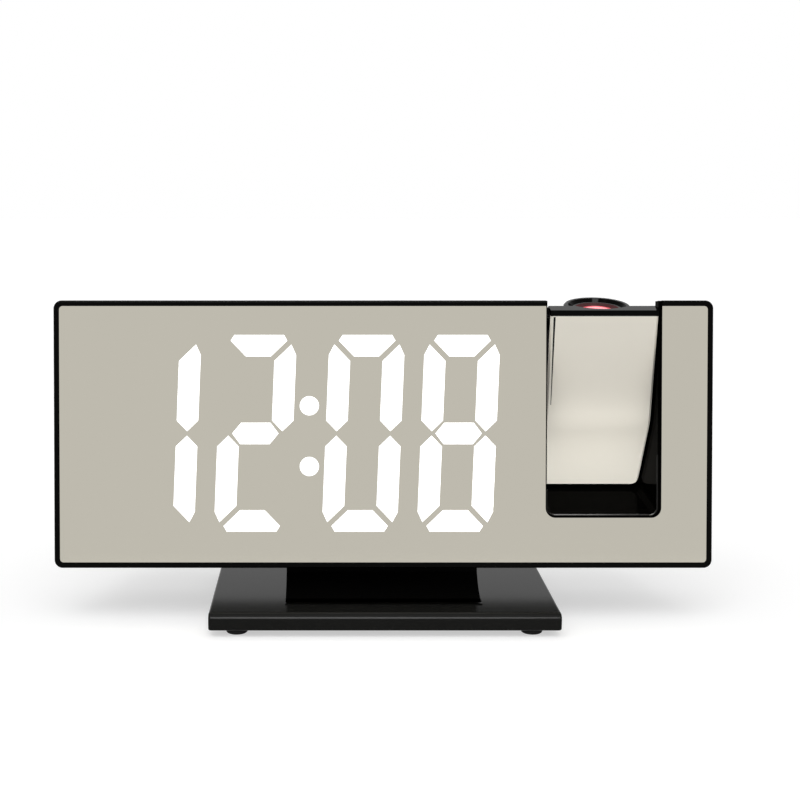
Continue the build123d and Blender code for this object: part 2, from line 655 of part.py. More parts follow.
def make_battery_door():
    """Round coin-slot door with two bayonet lugs."""
    skirt_end = BODY_DEPTH - DOOR_THICKNESS - DOOR_SKIRT
    inner_face = BODY_DEPTH - DOOR_THICKNESS
    door = rod(CELL_X, CELL_RISE, DOOR_RADIUS, skirt_end, BODY_DEPTH)
    door -= rod(CELL_X, CELL_RISE, DOOR_RADIUS - DOOR_SKIRT_WALL, skirt_end - PAST, inner_face)
    door += rod(CELL_X, CELL_RISE, DOOR_PAD_RADIUS, skirt_end + OPTIC_FIT, inner_face + PAST)
    lugs = lug_sector(DOOR_RADIUS + DOOR_LUG, DOOR_LUG_ANGLE, 0) - Circle(DOOR_RADIUS - SPACER_WALL)
    door += slab(Pos(CELL_X, CELL_RISE) * lugs, skirt_end, skirt_end + DOOR_LUG_HEIGHT)
    slot = Pos(CELL_X, CELL_RISE) * Rectangle(COIN_SLOT_LENGTH, COIN_SLOT_WIDTH)
    return door - slab(slot, BODY_DEPTH - COIN_SLOT_DEPTH, BODY_DEPTH + PAST)


def make_coin_cell():
    """Coin cell with its stepped edge."""
    front = cell_level() + CONTACT_SHEET
    step = CELL_RADIUS - DOOR_SKIRT_WALL
    cell = rod(CELL_X, CELL_RISE, CELL_RADIUS, front + CONTACT_SHEET, front + CELL_THICKNESS)
    return cell + rod(CELL_X, CELL_RISE, step, front, front + CELL_THICKNESS)


def make_cell_contacts():
    """Sheet contact under the cell and one at its edge."""
    floor = cell_level()
    half = CONTACT_WIDTH / 2
    reach = CELL_RADIUS - DOOR_SKIRT_WALL
    under = block(
        (CELL_X - reach, CELL_X + half), (floor, floor + CONTACT_SHEET), (CELL_RISE - half, CELL_RISE + half)
    )
    edge = CELL_X + CELL_RADIUS
    side = block(
        (edge, edge + CONTACT_SHEET),
        (floor, floor + CELL_THICKNESS),
        (CELL_RISE - half, CELL_RISE + half),
    )
    return [under, side]


def segment_outlines():
    """Seven bar outlines of one upright digit, by letter."""
    a = DIGIT_WIDTH / 2
    b = DIGIT_HEIGHT / 2
    gap = SEGMENT_GAP
    inner = a - STROKE
    half = STROKE / 2
    tip = a - SEGMENT_TRIM
    post = (
        (inner, half + gap),
        (a - half, gap),
        (a, half + gap),
        (a, b - SEGMENT_SHOULDER),
        (tip, b - SEGMENT_TRIM - 2 * gap),
        (inner, b - STROKE - 2 * gap),
    )
    bar = (
        (-inner + 2 * gap, b - STROKE),
        (inner - 2 * gap, b - STROKE),
        (a - BAR_TRIM - 2 * gap, b - BAR_TRIM),
        (a - 2 * BAR_TRIM - gap, b),
        (-a + 2 * BAR_TRIM + gap, b),
        (-a + BAR_TRIM + 2 * gap, b - BAR_TRIM),
    )
    middle = (
        (-inner + gap, half),
        (-a + half + 2 * gap, 0),
        (-inner + gap, -half),
        (inner - gap, -half),
        (a - half - 2 * gap, 0),
        (inner - gap, half),
    )
    return {
        "a": bar,
        "b": post,
        "c": [(x, -z) for x, z in post],
        "d": [(x, -z) for x, z in bar],
        "e": [(-x, -z) for x, z in post],
        "f": [(-x, z) for x, z in post],
        "g": middle,
    }


def slanted(points, x):
    """Outline of a bar moved to its digit and sheared by the slant."""
    lean = math.tan(math.radians(SLANT))
    return Polygon(*[(x + px + lean * pz, DIGIT_Z + pz) for px, pz in points], align=None)


def all_segments():
    """Every cell outline of the display with its lit state."""
    cells = []
    for x, lit in zip(DIGIT_CENTRES, SHOWN_DIGITS):
        for letter, points in segment_outlines().items():
            cells.append((slanted(points, x), letter in lit))
    for z in COLON_Z:
        cells.append((Pos(COLON_X, z) * Circle(COLON_RADIUS), True))
    return cells


def block_outline(margin):
    """Outline of the segment block grown by a margin."""
    height = DIGIT_HEIGHT + 2 * BLOCK_MARGIN
    outline = Rectangle(BLOCK_WIDTH + 2 * margin, height + 2 * margin)
    return Pos(BLOCK_LEFT + BLOCK_WIDTH / 2, DIGIT_Z) * outline


def make_segment_block():
    """Light block with one cell for each bar."""
    body = slab(block_outline(0), WEB_BACK, BLOCK_BACK)
    body += slab(block_outline(-WINDOW_LEDGE - WINDOW_FIT), SEAT_Y + BLOCK_FRONT_GAP, WEB_BACK)
    cells = Sketch()
    for outline, lit in all_segments():
        cells += offset(outline, CELL_FIT, kind=Kind.INTERSECTION)
    return body - slab(cells, 0, BLOCK_BACK + PAST)


def make_segments(wanted):
    """Light bars that are lit, or the ones that are not."""
    front = SEAT_Y + BLOCK_FRONT_GAP
    back = BLOCK_BACK - CHIP_DEPTH - SEGMENT_CHIP_GAP
    return [slab(outline, front, back) for outline, lit in all_segments() if lit == wanted]


def make_display_board():
    """Board behind the segment block."""
    return slab(block_outline(0), BLOCK_BACK, BLOCK_BACK + DISPLAY_BOARD)


def make_display_chips():
    """One light chip in each cell."""
    chips = []
    for outline, lit in all_segments():
        middle = outline.center()
        half_width = CHIP_WIDTH / 2
        half_height = CHIP_HEIGHT / 2
        chips.append(
            block(
                (middle.X - half_width, middle.X + half_width),
                (BLOCK_BACK - CHIP_DEPTH, BLOCK_BACK),
                (middle.Y - half_height, middle.Y + half_height),
            )
        )
    return chips


def make_control_board():
    """Stepped board on the housing's standoffs, clear of the cell cup."""
    outline = Polygon(
        (BOARD_LEFT, BOARD_STEP_Z),
        (BOARD_STEP_X, BOARD_STEP_Z),
        (BOARD_STEP_X, BOARD_BOTTOM),
        (BOARD_RIGHT, BOARD_BOTTOM),
        (BOARD_RIGHT, BOARD_TOP),
        (BOARD_LEFT, BOARD_TOP),
        align=None,
    )
    board = slab(outline, BOARD_FRONT, BOARD_BACK)
    for x, z in BOARD_SCREWS:
        board -= rod(x, z, SCREW_RADIUS + SCREW_FIT, BOARD_FRONT - PAST, BOARD_BACK + PAST)
    return board


def make_board_screws():
    """Screws that hold the control board, driven from the front."""
    screws = []
    for x, z in BOARD_SCREWS:
        screw = rod(x, z, SCREW_HEAD, BOARD_FRONT - SCREW_HEAD_HEIGHT, BOARD_FRONT)
        screw += rod(x, z, SCREW_RADIUS, BOARD_FRONT - PAST, REAR_INNER - SCREW_TIP_GAP)
        screws.append(screw)
    return screws


def make_key_switches():
    """Push switches behind the five buttons."""
    switches = []
    half = SWITCH_SIZE / 2
    for x in BUTTON_XS:
        body = block(
            (x - half, x + half), (BOARD_BACK, BOARD_BACK + SWITCH_HEIGHT), (BUTTON_Z - half, BUTTON_Z + half)
        )
        switches.append(body + rod(x, BUTTON_Z, PLUNGER_RADIUS, BOARD_BACK, SWITCH_TOP))
    return switches


def make_button(x):
    """Key cap with a flange inside the housing wall and a stem over its switch."""
    face = BODY_DEPTH + BUTTON_PROUD
    outline = RectangleRounded(BUTTON_WIDTH, BUTTON_HEIGHT, BUTTON_CORNER)
    cap = slab(Pos(x, BUTTON_Z) * outline, REAR_INNER - PAST, face)
    cap = fillet(cap.faces().sort_by(Axis.Y)[-1].edges(), BUTTON_DOME)
    flange = RectangleRounded(
        BUTTON_WIDTH + 2 * BUTTON_FLANGE_RIM, BUTTON_HEIGHT + 2 * BUTTON_FLANGE_RIM, BUTTON_CORNER
    )
    flange_back = REAR_INNER - SEAT_GAP
    cap += slab(Pos(x, BUTTON_Z) * flange, flange_back - BUTTON_FLANGE, flange_back)
    stem_end = SWITCH_TOP + BUTTON_TRAVEL + SEAT_GAP
    return cap + rod(x, BUTTON_Z, PLUNGER_RADIUS, stem_end, flange_back)


def make_snooze_bar():
    """Long bar in the housing's top with a flange below the wall and a leg over its switch."""
    bar = snooze_blank(0, SNOOZE_FLANGE_TOP, SNOOZE_PROUD)
    bar = fillet(bar.faces().sort_by(Axis.Z)[-1].edges(), SNOOZE_EDGE)
    bar += snooze_blank(SNOOZE_FLANGE_RIM, SNOOZE_FLANGE_BOTTOM, SNOOZE_FLANGE_TOP)
    leg_y = BOARD_FRONT - SNOOZE_SWITCH_DEPTH / 2
    leg_top = SNOOZE_Z + (SNOOZE_FLANGE_TOP + SNOOZE_FLANGE_BOTTOM) / 2
    leg = plug(SNOOZE_LEG_RADIUS, SNOOZE_LEG_BOTTOM, leg_top)
    return snooze_place() * bar + Pos(SNOOZE_X, leg_y, 0) * leg


def make_snooze_switch():
    """Side push switch on the front of the control board."""
    half = SNOOZE_SWITCH_WIDTH / 2
    body = block(
        (SNOOZE_X - half, SNOOZE_X + half),
        (BOARD_FRONT - SNOOZE_SWITCH_DEPTH, BOARD_FRONT),
        (SNOOZE_SWITCH_TOP - SNOOZE_SWITCH_HEIGHT, SNOOZE_SWITCH_TOP),
    )
    plunger = plug(PLUNGER_RADIUS, SNOOZE_SWITCH_TOP - PAST, SNOOZE_SWITCH_TOP + PLUNGER_HEIGHT)
    return body + Pos(SNOOZE_X, BOARD_FRONT - SNOOZE_SWITCH_DEPTH / 2, 0) * plunger


def make_buzzer():
    """Round sounder with its mouth towards the sound holes."""
    sounder = rod(BUZZER_X, BUZZER_Z, BUZZER_RADIUS, BOARD_BACK, BOARD_BACK + BUZZER_HEIGHT)
    return sounder - rod(BUZZER_X, BUZZER_Z, SOUND_HOLE, BOARD_BACK + INLET_BACK, BODY_DEPTH)


def make_power_inlet():
    """Flat power socket that stands on the control board."""
    mouth = BODY_DEPTH - INLET_SET_BACK
    place = Pos(INLET_X, INLET_Z)
    shell = slab(place * RectangleRounded(INLET_WIDTH, INLET_HEIGHT, INLET_CORNER), BOARD_BACK, mouth)
    hollow = RectangleRounded(
        INLET_WIDTH - 2 * INLET_WALL, INLET_HEIGHT - 2 * INLET_WALL, INLET_CORNER - INLET_WALL
    )
    shell -= slab(place * hollow, BOARD_BACK + INLET_BACK, mouth + PAST)
    tongue = place * Rectangle(INLET_TONGUE_WIDTH, INLET_TONGUE_HEIGHT)
    return shell + slab(tongue, BOARD_BACK, BOARD_BACK + INLET_BACK + INLET_TONGUE_LENGTH)


def back_screw(x, z, tip):
    """Cross-head screw driven from the back into a post."""
    seat = BODY_DEPTH - SCREW_HEAD_HEIGHT - SCREW_FIT
    face = BODY_DEPTH - SCREW_FIT
    screw = rod(x, z, SCREW_HEAD, seat, face) + rod(x, z, SCREW_RADIUS, tip, seat)
    cross = Rectangle(CROSS_LENGTH, CROSS_WIDTH) + Rectangle(CROSS_WIDTH, CROSS_LENGTH)
    return screw - slab(Pos(x, z) * cross, face - CROSS_DEPTH, face + PAST)


def make_housing_screws():
    """Screws through the rear housing into the frame posts."""
    return [back_screw(x, z, POST_BOTTOM + SCREW_TIP_GAP) for x, z in HOUSING_SCREWS]


def make_stand_screws():
    """Screws through the rear housing into the tongue of the neck."""
    tip = TONGUE_BACK - NECK_SCREW_DEPTH + SCREW_TIP_GAP
    return [back_screw(x, NECK_SCREW_Z, tip) for x in NECK_SCREW_XS]


def make_bay_screws():
    """Short screws through the bay tabs into the web."""
    screws = []
    seat = WEB_BACK + BAY_TAB_THICKNESS
    for x, z in bay_tabs():
        screw = rod(x, z, SCREW_HEAD, seat, seat + SCREW_HEAD_HEIGHT)
        screws.append(screw + rod(x, z, SCREW_RADIUS, seat - BAY_SCREW_LENGTH, seat))
    return screws


def bend_arc(inward):
    """Start, middle and end of the rounded bend at a distance behind the face."""
    turn = math.radians(HEAD_BEND)
    radius = HEAD_CURVE - inward
    centre_z = HEAD_TOP - HEAD_FLAT + HEAD_CURVE * math.tan(turn / 2)
    points = []
    for angle in (0, turn / 2, turn):
        y = HEAD_FACE + HEAD_CURVE - radius * math.cos(angle)
        points.append((y, centre_z - radius * math.sin(angle)))
    return points


def bent_edges(start, inward, end):
    """Edges of a profile line that follows the bend at a distance behind the face."""
    first, middle, last = bend_arc(inward)
    return [Line(start, first), ThreePointArc(first, middle, last), Line(last, end)]


def rounded_tail(form):
    """Form with the two lower corners of the tail rounded along the tail's own normal."""
    turn = math.radians(HEAD_BEND)
    y, z = tail_point(HEAD_TAIL, 0)
    tail_plane = Plane(origin=(0, y, z), x_dir=(1, 0, 0), z_dir=(0, math.cos(turn), math.sin(turn)))
    reach = HEAD_WIDTH / 2
    half = HEAD_CORNER / 2
    for side in (-1, 1):
        corner = Pos(side * (reach - half), -half) * Rectangle(HEAD_CORNER, HEAD_CORNER)
        centre = Pos(side * (reach - HEAD_CORNER), -HEAD_CORNER) * Circle(HEAD_CORNER)
        waste = tail_plane * (corner - centre)
        form -= extrude(waste, amount=HEAD_WIDTH, both=True)
    return form


def make_head_shell():
    """Black body of the head: bent plate, barrel, fairing and pivot bosses."""
    rim_z = HEAD_TOP - HEAD_TOP_RIM
    front = HEAD_FACE + HEAD_MIRROR
    top_back = (HEAD_FACE + HEAD_PLATE, HEAD_TOP)
    tail_back = tail_point(HEAD_TAIL, HEAD_TAIL_PLATE)
    tail_front = tail_point(HEAD_TAIL, HEAD_MIRROR)
    outline = [
        Line((HEAD_FACE, HEAD_TOP), top_back),
        *bent_edges(top_back, HEAD_PLATE, tail_back),
        Line(tail_back, tail_front),
        *bent_edges((front, rim_z), HEAD_MIRROR, tail_front),
        Line((front, rim_z), (HEAD_FACE, rim_z)),
        Line((HEAD_FACE, rim_z), (HEAD_FACE, HEAD_TOP)),
    ]
    shell = rounded_tail(extrude(Plane.YZ * make_face(outline), amount=HEAD_WIDTH / 2, both=True))
    barrel = plug(TUBE_RADIUS, TUBE_BOTTOM, TUBE_TOP)
    fairing = (
        (HEAD_FACE + HEAD_PLATE - HEAD_FAIRING_SINK, -HEAD_FAIRING_TOP),
        (TUBE_RADIUS - HEAD_FAIRING_SINK, TUBE_BOTTOM + HEAD_FAIRING_SINK),
        (TUBE_RADIUS - HEAD_FAIRING_SINK, TUBE_BOTTOM),
        tail_point(HEAD_FAIRING_END, HEAD_TAIL_PLATE),
        tail_point(HEAD_FAIRING_END - HEAD_FAIRING_SINK, HEAD_TAIL_PLATE - HEAD_FAIRING_SINK),
        bend_arc(HEAD_PLATE - HEAD_FAIRING_SINK)[1],
    )
    shell += barrel + ribbon(fairing, HEAD_FAIRING_WIDTH)
    shell += Rot(0, 90, 0) * Cylinder(HEAD_PIVOT_BOSS, HEAD_WIDTH)
    shell -= plug(RING_RADIUS + RING_POCKET_CLEARANCE, TUBE_TOP, FAR)
    shell -= plug(TUBE_BORE, TUBE_BOTTOM + TUBE_FLOOR, FAR)
    shell -= plug(LEAD_HOLE, TUBE_BOTTOM - PAST, TUBE_BOTTOM + TUBE_FLOOR + PAST)
    for side in (-1, 1):
        low, high = sorted((side * PIN_START, side * HEAD_WIDTH))
        hole = Plane.YZ.offset(low) * Circle(PIN_RADIUS + SCREW_THREAD_FIT)
        shell -= extrude(hole, amount=high - low)
    return shell


def make_head_face():
    """Bent mirror plate with bevelled long edges."""
    front_top = (HEAD_FACE, HEAD_TOP - HEAD_TOP_RIM)
    back_top = (HEAD_FACE + HEAD_MIRROR, HEAD_TOP - HEAD_TOP_RIM)
    front_end = tail_point(HEAD_TAIL, 0)
    back_end = tail_point(HEAD_TAIL, HEAD_MIRROR)
    outline = [
        Line(front_top, back_top),
        *bent_edges(back_top, HEAD_MIRROR, back_end),
        Line(back_end, front_end),
        *bent_edges(front_top, 0, front_end),
    ]
    plate = extrude(Plane.YZ * make_face(outline), amount=HEAD_WIDTH / 2, both=True)
    outer = [e for e in plate.edges() if front_long_edge(e)]
    return rounded_tail(chamfer(outer, HEAD_MIRROR_BEVEL))


def front_long_edge(edge):
    """Whether an edge runs down a long side of the mirror plate's outer face."""
    middle = edge.position_at(0.5)
    centre_y, centre_z = bend_arc(HEAD_CURVE)[0]
    turn = math.radians(HEAD_BEND)
    reaches = [
        (centre_y - middle.Y) * math.cos(angle) + (centre_z - middle.Z) * math.sin(angle)
        for angle in (0, turn / 2, turn)
    ]
    at_side = abs(abs(middle.X) - HEAD_WIDTH / 2) < NEAR
    return at_side and abs(max(reaches) - HEAD_CURVE) < NEAR


def make_pivot_pins():
    """Hollow pins pressed into the head, turning in the bay walls."""
    pins = []
    end = BAY_OUTER / 2 - SEAT_GAP
    for side in (-1, 1):
        low, high = sorted((side * PIN_START, side * end))
        ring = Plane.YZ.offset(low) * (Circle(PIN_RADIUS) - Circle(PIN_BORE))
        pins.append(extrude(ring, amount=high - low))
    return pins


def make_focus_ring():
    """Turning ring on top of the barrel with a skirt inside it."""
    low = TUBE_TOP + RING_GAP
    profile = Polygon(
        (RING_BORE, RING_SKIRT_END),
        (RING_SKIRT, RING_SKIRT_END),
        (RING_SKIRT, low),
        (RING_RADIUS, low),
        (RING_RADIUS, RING_TOP - RING_CHAMFER),
        (RING_RADIUS - RING_CHAMFER, RING_TOP),
        (RING_BORE + RING_FLARE, RING_TOP),
        (RING_BORE, RING_TOP - 2 * RING_FLARE),
        align=None,
    )
    return revolve(Plane.XZ * profile, Axis.Z)


def make_lens_carrier():
    """Sleeve that carries the lens inside the focus ring."""
    bottom = CARRIER_TOP - CARRIER_LENGTH
    sleeve = tube(RING_BORE - CARRIER_CLEARANCE, CARRIER_BORE, bottom, CARRIER_TOP)
    return sleeve - plug(LENS_RADIUS + OPTIC_FIT, LENS_SEAT, CARRIER_TOP + PAST)


def lens_form(radius, seat, edge, crown):
    """Round lens with a flat lower face, a straight edge and a crowned upper face."""
    top = seat + edge
    outline = [
        Line((0, seat), (0, top + crown)),
        ThreePointArc((0, top + crown), (radius / 2, top + CROWN_SHARE * crown), (radius, top)),
        Line((radius, top), (radius, seat)),
        Line((radius, seat), (0, seat)),
    ]
    return revolve(Plane.XZ * make_face(outline), Axis.Z)


def make_projection_lens():
    """Front lens of the projector."""
    return lens_form(LENS_RADIUS, LENS_SEAT, LENS_EDGE, LENS_CROWN)


def optic_levels():
    """Heights where the parts of the optic stack begin, from the barrel floor up."""
    board = TUBE_BOTTOM + TUBE_FLOOR
    lower = board + LAMP_BOARD
    condenser = lower + LOWER_SPACER
    upper = condenser + CONDENSER_RIM
    slide = upper + UPPER_SPACER
    retainer = slide + SLIDE_THICKNESS
    return {
        "board": board,
        "lower": lower,
        "condenser": condenser,
        "upper": upper,
        "slide": slide,
        "retainer": retainer,
    }


def make_lamp_board():
    """Round board at the bottom of the barrel."""
    start = optic_levels()["board"]
    return plug(TUBE_BORE - OPTIC_FIT, start, start + LAMP_BOARD)


def make_red_lamp():
    """Domed lamp on the lamp board."""
    start = optic_levels()["lower"]
    dome = Pos(0, 0, start + LAMP_HEIGHT - LAMP_RADIUS) * Sphere(LAMP_RADIUS)
    return (plug(LAMP_RADIUS, start, start + LAMP_HEIGHT - LAMP_RADIUS) + dome) & plug(FAR, start, FAR)


def make_optic_spacers():
    """Two spacer sleeves and the retaining ring of the optic stack."""
    levels = optic_levels()
    radius = TUBE_BORE - OPTIC_FIT
    bore = radius - SPACER_WALL
    lower = tube(radius, bore, levels["lower"], levels["condenser"])
    upper = tube(radius, bore, levels["upper"], levels["slide"])
    retainer = tube(radius, bore, levels["retainer"], levels["retainer"] + RETAINER)
    return [lower, upper, retainer]


def make_condenser_lens():
    """Plano-convex lens over the lamp."""
    start = optic_levels()["condenser"]
    rim = plug(TUBE_BORE - OPTIC_FIT, start, start + CONDENSER_RIM)
    crown = lens_form(TUBE_BORE - SPACER_WALL - 2 * OPTIC_FIT, start, CONDENSER_RIM, CONDENSER_CROWN)
    return rim + crown


def make_time_slide():
    """Glass display slide that shapes the projected time."""
    start = optic_levels()["slide"]
    return plug(TUBE_BORE - OPTIC_FIT, start, start + SLIDE_THICKNESS)


def make_stand_base():
    """Flat base with rounded long edges, ballast pocket, foot recesses and screw holes."""
    profile = Pos(0, FOOT_HEIGHT + BASE_HEIGHT / 2) * Rectangle(BASE_DEPTH, BASE_HEIGHT)
    profile = fillet(profile.vertices().group_by(Axis.Y)[-1], BASE_EDGE)
    profile = fillet(profile.vertices().group_by(Axis.Y)[0], BASE_UNDER_EDGE)
    base = extrude(Plane.YZ * profile, amount=BASE_WIDTH / 2, both=True)
    base = fillet(base.faces().filter_by(Axis.X).edges(), BASE_END_EDGE)
    pocket_width = BALLAST_WIDTH + 2 * BALLAST_FIT
    pocket_depth = BALLAST_DEPTH + 2 * BALLAST_FIT
    pocket_top = FOOT_HEIGHT + BALLAST_HEIGHT + BALLAST_FIT
    base -= block(
        (-pocket_width / 2, pocket_width / 2),
        (BALLAST_Y - pocket_depth / 2, BALLAST_Y + pocket_depth / 2),
        (0, pocket_top),
    )
    for x, y in foot_places():
        base -= Pos(x, y, 0) * plug(FOOT_RADIUS + FOOT_FIT, 0, FOOT_HEIGHT + FOOT_RECESS)
    for x in BASE_SCREW_XS:
        base -= Pos(x, BASE_SCREW_Y, 0) * plug(BASE_SCREW_RADIUS + SCREW_FIT, 0, BASE_TOP + PAST)
    return base


def foot_places():
    """Centres of the four feet."""
    x = BASE_WIDTH / 2 - FOOT_SIDE_INSET
    y = BASE_DEPTH / 2 - FOOT_END_INSET
    return [(-x, -y), (x, -y), (-x, y), (x, y)]


def make_base_feet():
    """Four rubber feet."""
    feet = []
    for x, y in foot_places():
        foot = plug(FOOT_RADIUS, 0, FOOT_HEIGHT + FOOT_RECESS)
        feet.append(Pos(x, y, 0) * fillet(foot.edges().sort_by(Axis.Z)[:1], FOOT_EDGE))
    return feet


def make_ballast_plate():
    """Steel plate in the base, under the screw heads."""
    bottom = FOOT_HEIGHT + BALLAST_FIT
    plate = Pos(0, BALLAST_Y, bottom + BALLAST_HEIGHT / 2) * Box(BALLAST_WIDTH, BALLAST_DEPTH, BALLAST_HEIGHT)
    for x in BASE_SCREW_XS:
        place = Pos(x, BASE_SCREW_Y, 0)
        plate -= place * plug(BASE_SCREW_RADIUS + SCREW_FIT, 0, BASE_TOP)
        plate -= place * plug(BASE_SCREW_HEAD + SCREW_FIT, 0, bottom + BASE_SCREW_HEAD_HEIGHT)
    return plate


def make_base_screws():
    """Screws through ballast and base into the neck."""
    screws = []
    bottom = FOOT_HEIGHT + BALLAST_FIT
    seat = bottom + BASE_SCREW_HEAD_HEIGHT
    cross = Rectangle(CROSS_LENGTH, CROSS_WIDTH) + Rectangle(CROSS_WIDTH, CROSS_LENGTH)
    for x in BASE_SCREW_XS:
        screw = plug(BASE_SCREW_HEAD, bottom, seat)
        screw += plug(BASE_SCREW_RADIUS, bottom, BASE_TOP + BASE_SCREW_DEPTH - SCREW_TIP_GAP)
        screw -= extrude(Pos(0, 0, bottom) * cross, amount=CROSS_DEPTH)
        screws.append(Pos(x, BASE_SCREW_Y, 0) * screw)
    return screws


def make_stand_neck():
    """Neck that sweeps up from the base to the housing, with a tongue that enters it."""
    ramp_start = NECK_FRONT - NECK_RAMP
    low = BASE_TOP + NECK_RAMP_EDGE
    high = BASE_TOP + NECK_RAMP_HEIGHT
    sag = ((ramp_start + 2 * NECK_FRONT) / 3, low + (high - low) * NECK_RAMP_SAG)
    outline = [
        Line((ramp_start, BASE_TOP), (ramp_start, low)),
        ThreePointArc((ramp_start, low), sag, (NECK_FRONT, high)),
        Line((NECK_FRONT, high), (NECK_FRONT, NECK_TOP)),
        Line((NECK_FRONT, NECK_TOP), (NECK_BACK, NECK_TOP)),
        Line((NECK_BACK, NECK_TOP), (NECK_BACK, BASE_TOP)),
        Line((NECK_BACK, BASE_TOP), (ramp_start, BASE_TOP)),
    ]
    neck = extrude(Plane.YZ * make_face(outline), amount=NECK_WIDTH / 2, both=True)
    neck -= BODY_PLACE * housing_blank()
    half = TONGUE_WIDTH / 2
    tongue = block((-half, half), (TONGUE_FRONT, TONGUE_BACK), (0, TONGUE_TOP))
    for x in NECK_SCREW_XS:
        tip = TONGUE_BACK - NECK_SCREW_DEPTH
        tongue -= rod(x, NECK_SCREW_Z, SCREW_RADIUS + SCREW_THREAD_FIT, tip, TONGUE_BACK + PAST)
    neck += BODY_PLACE * tongue
    for x in BASE_SCREW_XS:
        hole = plug(BASE_SCREW_RADIUS + SCREW_THREAD_FIT, 0, BASE_TOP + BASE_SCREW_DEPTH)
        neck -= Pos(x, BASE_SCREW_Y, 0) * hole
    return neck


def body_nodes():
    """Nodes built in the body's own frame."""
    nodes = {
        "front_frame": make_front_frame(),
        "mirror_panel": make_mirror_panel(),
        "projector_bay": make_projector_bay(),
        "rear_housing": make_rear_housing(),
        "segment_block": make_segment_block(),
        "lit_segments": make_segments(True),
        "unlit_segments": make_segments(False),
        "display_board": make_display_board(),
        "display_chips": make_display_chips(),
        "control_board": make_control_board(),
        "board_screws": make_board_screws(),
        "key_switches": make_key_switches(),
        "snooze_switch": make_snooze_switch(),
        "snooze_bar": make_snooze_bar(),
        "buzzer": make_buzzer(),
        "power_inlet": make_power_inlet(),
        "coin_cell": make_coin_cell(),
        "cell_contacts": make_cell_contacts(),
        "battery_door": make_battery_door(),
        "housing_screws": make_housing_screws(),
        "stand_screws": make_stand_screws(),
        "bay_screws": make_bay_screws(),
    }
    for name, x in zip(BUTTON_NAMES, BUTTON_XS):
        nodes[f"{name}_button"] = make_button(x)
    return nodes


def head_nodes():
    """Nodes built in the head's own frame."""
    return {
        "head_shell": make_head_shell(),
        "head_face": make_head_face(),
        "pivot_pins": make_pivot_pins(),
        "focus_ring": make_focus_ring(),
        "lens_carrier": make_lens_carrier(),
        "projection_lens": make_projection_lens(),
        "lamp_board": make_lamp_board(),
        "red_lamp": make_red_lamp(),
        "optic_spacers": make_optic_spacers(),
        "condenser_lens": make_condenser_lens(),
        "time_slide": make_time_slide(),
    }


def stand_nodes():
    """Nodes built where they stand."""
    return {
        "stand_base": make_stand_base(),
        "stand_neck": make_stand_neck(),
        "ballast_plate": make_ballast_plate(),
        "base_screws": make_base_screws(),
        "base_feet": make_base_feet(),
    }


def save(name, shape, place):
    """Write one node in the shared frame."""
    pieces = shape if isinstance(shape, list) else [shape]
    solids = [solid for piece in pieces for solid in (place * piece).solids()]
    whole = solids[0] if len(solids) == 1 else Compound(children=solids)
    export_step(whole, f"parts/{name}.step")
    print(name, len(solids), round(sum(solid.volume for solid in solids), 2))


def main():
    """Build every node and write it."""
    os.makedirs("parts", exist_ok=True)
    groups = ((body_nodes(), BODY_PLACE), (head_nodes(), HEAD_PLACE), (stand_nodes(), Pos(0, 0, 0)))
    for nodes, place in groups:
        for name, shape in nodes.items():
            save(name, shape, place)


if __name__ == "__main__":
    main()
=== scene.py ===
"""Looks of a mirror-faced desk clock with a tilting projector, on a low black stand."""

import json
import logging
import math
from dataclasses import dataclass
from enum import Enum
from typing import Optional

import bmesh
import bpy
from mathutils import Matrix, Vector


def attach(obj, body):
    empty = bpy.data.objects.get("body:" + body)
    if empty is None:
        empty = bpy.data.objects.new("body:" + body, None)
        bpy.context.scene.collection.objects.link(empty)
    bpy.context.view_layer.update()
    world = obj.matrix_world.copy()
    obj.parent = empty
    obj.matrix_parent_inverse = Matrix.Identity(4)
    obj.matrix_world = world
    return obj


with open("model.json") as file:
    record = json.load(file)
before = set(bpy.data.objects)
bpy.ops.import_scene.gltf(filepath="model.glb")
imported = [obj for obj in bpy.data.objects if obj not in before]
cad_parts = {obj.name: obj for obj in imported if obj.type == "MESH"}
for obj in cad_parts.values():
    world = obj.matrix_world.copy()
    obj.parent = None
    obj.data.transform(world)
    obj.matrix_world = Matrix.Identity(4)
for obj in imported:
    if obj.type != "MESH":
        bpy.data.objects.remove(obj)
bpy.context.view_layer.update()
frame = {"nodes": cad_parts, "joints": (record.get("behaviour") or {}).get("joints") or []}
LOG = logging.getLogger("desk_clock")

# Metres in a millimetre
MM = 0.001
# How deep the points of a flat end may lie, in millimetres
CAP_DEPTH = 0.04
# Points closer than this are merged, in a shape's own unit
WELD = 1e-4
# Faces that meet at less than this angle count as one flat face
FLAT_ANGLE = math.radians(1)
QUARTER_TURN = math.pi / 2
TRIANGLE = 3

Colour = tuple[float, float, float]
Point = tuple[float, float, float]
Spot = tuple[float, float]
Outline = list[Spot]
Box = tuple[Vector, Vector]
Verts = list[bmesh.types.BMVert]
Edges = list[bmesh.types.BMEdge]


class Grain(Enum):
    """Fine character of a surface."""

    POLISHED = "polished"
    SPARK = "spark"
    BRUSHED = "brushed"
    TRACKS = "tracks"


# Octaves of finer bumps in each grain that is a noise
OCTAVES = {Grain.POLISHED: 2, Grain.BRUSHED: 3, Grain.SPARK: 4}
# Brush marks are drawn out along X
BRUSH_STRETCH = (0.04, 1, 1)
# Height of a grain's bumps as a share of their width
BUMP_SHARE = 0.25


